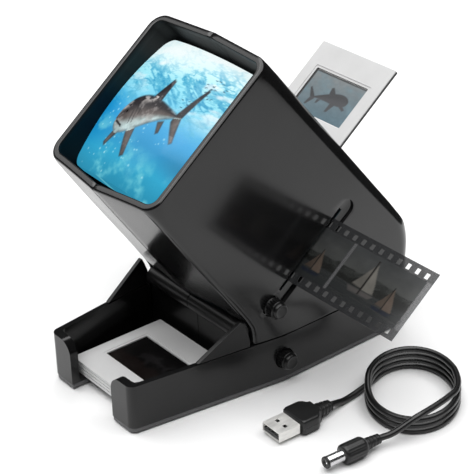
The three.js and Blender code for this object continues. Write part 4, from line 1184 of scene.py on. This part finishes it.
def pale_sea(a, b):
    col = lerp((0.50, 0.53, 0.54), (0.26, 0.44, 0.52), (1 - b) / 2 + 0.15 * a)
    col = lerp(col, (0.36, 0.56, 0.64), step(0.35, 0.8, fbm(a * 2 + b, b * 2, 31)) * 0.6)
    col = col * (0.86 + 0.14 * fbm(a * 9, b * 9, 33)[..., None])
    col = lerp(col, col.mean(-1, keepdims=True) * np.ones(3), np.full(a.shape, 0.3)) * 0.84
    x, y = (a - 0.10) / 0.62, (b + 0.05) / 0.95
    t = math.radians(12)
    d, h = fish((x * math.cos(t) + y * math.sin(t)), (-x * math.sin(t) + y * math.cos(t)), -1.0)
    skin = lerp((0.17, 0.175, 0.19), (0.11, 0.12, 0.135), step(-0.5, 0.6, h))
    col = lerp(col, skin, 1 - step(-0.03, 0.04, d))
    # painted shadow: a dark band along the top and left edges of the picture, where the mount's window edge would cast
    # it
    shade = np.maximum(step(0.90, 0.965, b), step(0.94, 0.98, -a))
    return lerp(col, (0.08, 0.085, 0.09), shade * 0.9)


def dark_reef(a, b):
    col = lerp((0.055, 0.052, 0.055), (0.025, 0.022, 0.022), (1 - b) / 2)
    ridge = step(0.0, 0.25, -b - 0.25 + 0.7 * (fbm(a * 3, a * 0, 51) - 0.4))
    col = lerp(col, (0.075, 0.055, 0.05), ridge)
    x, y = (a - 0.1) / 0.5, (b - 0.12) / 0.7
    d, _ = fish(x, y)
    col = lerp(col, (0.12, 0.115, 0.12), (1 - step(-0.03, 0.05, d)) * 0.75)
    return col * (0.85 + 0.3 * fbm(a * 12, b * 12, 55)[..., None])


in_channel = lambda a, b, c: tuple(L(a, b + 65.0, c + SLIDE_PLANE)) if np.isscalar(a) else L(a, b + 65.0, c + SLIDE_PLANE)
slide_mount("loaded_slide_card", in_channel, 0.42, 0.88, "loaded_slide", "loaded_slide_mount", 0.5, 0.3, card_white)
slide_mount("loaded_slide_back", in_channel, -0.88, 0.41, "loaded_slide", None, 0.5, 0, mount_grey)
chip("loaded_slide_film", in_channel, 0.13, "loaded_slide", "loaded_slide_image", pale_sea)
for i in range(4):
    top = 11.2 - (3 - i) * 1.75
    mid = top - 0.725
    place = lambda a, b, c, mid=mid: (a, 31.9 + b, mid + c)
    slide_mount(f"tray_slide_{i + 1}_card", place, -0.71, 0.71, f"tray_{i + 1}", f"tray_slide_{i + 1}", 0.8)
flat = lambda a, b, c: np.stack([a, 31.9 + b, np.full_like(a, 10.475 + c)], -1)
chip("tray_slide_film", flat, 0.13, "tray_4", "tray_slide_image", dark_reef)

# ------------------------------------------------------------------ pieces kept from the CAD, with their own finishes
finish_of = {
    "battery_door": tub_black, "lens_frame": inner_black, "slide_guide_front": inner_black, "slide_guide_rear": inner_black,
    "film_gate": inner_black, "film_pressure_plate": inner_black, "battery_cradle": inner_black, "power_switch": inner_black,
    "dc_jack": inner_black, "diffuser": opal_mat, "light_box": white_matt, "led_board": board_green,
    "led_1": led_resin, "led_2": led_resin, "led_3": led_resin, "battery_1": cell_mat, "battery_2": cell_mat, "battery_3": cell_mat,
    "foot_1": foot_rubber, "foot_2": foot_rubber, "foot_3": foot_rubber, "foot_4": foot_rubber,
}
replaced = set()
for name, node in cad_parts.items():
    mat = finish_of.get(name, steel)
    if node.data.materials:
        for i in range(len(node.data.materials)):
            node.data.materials[i] = mat
    else:
        node.data.materials.append(mat)

# ------------------------------------------------------------------ stage and light
fm = Mat("studio_floor")
pale = fm.ramp(fm.noise(3.0, 2), [(0.3, (0.86, 0.86, 0.86)), (0.7, (0.875, 0.875, 0.875))])
axes = fm.n("ShaderNodeSeparateXYZ")
fm.link(fm.coord, axes.inputs[0])
slant = fm.n("ShaderNodeVectorMath")
slant.operation = "DOT_PRODUCT"
fm.link(fm.coord, slant.inputs[0])
slant.inputs[1].default_value = (-0.7, 1.0, 0.0)
# floor tones seen only by glossy rays: painted light and shade, patches made darker or brighter by place so the black
# body mirrors them
near = fm.mix(fm.span(slant.outputs["Value"], 0.0, 1.0, -0.055, 0.0), (0.76, 0.76, 0.76), (0.98, 0.98, 0.98))
right = fm.mix(fm.span(axes.outputs[0], 0.0, 1.0, 0.10, 0.22), near, (0.78, 0.78, 0.78))
glossy_floor_shade = fm.mix(fm.span(axes.outputs[0], 0.0, 1.0, -0.06, 0.05), (0.70, 0.70, 0.70), right)
front = fm.mix(fm.span(axes.outputs[0], 0.0, 1.0, -0.09, -0.06), glossy_floor_shade, (0.98, 0.98, 0.98))
front = fm.mix(fm.span(axes.outputs[0], 0.0, 1.0, 0.03, 0.06), front, glossy_floor_shade)
front = fm.mix(fm.span(axes.outputs[1], 0.0, 1.0, -0.15, -0.115), glossy_floor_shade, front)
glossy_floor_shade = fm.mix(fm.span(axes.outputs[1], 0.0, 1.0, -0.085, -0.06), front, glossy_floor_shade)
rays = fm.n("ShaderNodeLightPath")
# reflections see the painted light and shade tones; all other rays see the even pale floor
fm.colour(fm.mix(rays.outputs["Is Glossy Ray"], pale, glossy_floor_shade))
fm.set(Roughness=0.6, Specular_IOR_Level=0.2)
# white sheets laid edge to edge; the ones behind stay out of the gloss, as black cards would keep them
for k, (x0, x1, y0, y1, seen) in enumerate([(-1.6, -0.02, -1.6, 0.11, True), (-0.02, 1.1, -1.6, 0.25, True),
                                            (-1.6, -0.02, 0.11, 0.60, False), (-0.02, 1.1, 0.25, 0.60, False)]):
    flat = [np.stack(np.meshgrid(np.linspace(x0, x1, 3), np.linspace(y0, y1, 3), indexing="ij") + [np.full((3, 3), z)], -1) for z in (-0.00005, -0.02)]
    part = grid_solid(f"studio_floor_{k + 1}", flat[0], flat[1], fm.m)
    fix_normals(part)
    part.visible_glossy = seen

world = bpy.data.worlds.new("studio")
bpy.context.scene.world = world
world.use_nodes = True
wt = world.node_tree
bg = wt.nodes["Background"]
rays = wt.nodes.new("ShaderNodeLightPath")
choose = wt.nodes.new("ShaderNodeMix")
choose.data_type = "RGBA"
choose.inputs[6].default_value = (0.03, 0.03, 0.03, 1)
choose.inputs[7].default_value = (1.0, 1.0, 1.0, 1)
wt.links.new(rays.outputs["Is Camera Ray"], choose.inputs["Factor"])
wt.links.new(choose.outputs[2], bg.inputs["Color"])
bg.inputs["Strength"].default_value = 1.0


def area(name, where, target, size, power):
    la = bpy.data.lights.new(name, "AREA")
    la.shape, la.size, la.size_y, la.energy = "RECTANGLE", size[0], size[1], power
    o = bpy.data.objects.new(name, la)
    o.location = where
    o.rotation_euler = (Vector(target) - Vector(where)).to_track_quat("-Z", "Y").to_euler()
    return link(o)


area("overhead", (0.0, 0.0, 1.5), (0, 0, 0), (2.4, 2.4), 60)
area("key", (-0.83, -0.45, 0.86), (0, -0.03, 0.09), (0.6, 0.6), 2.1)
bpy.context.scene.view_settings.view_transform = "Standard"

# the lead lies beside the viewer without being mirrored in its side
for name in ("power_lead", "usb_shell", "usb_tongue", "usb_contacts", "usb_grip", "usb_strain_relief",
             "dc_barrel", "dc_tip", "dc_grip", "dc_strain_relief"):
    bpy.data.objects[name].visible_glossy = False
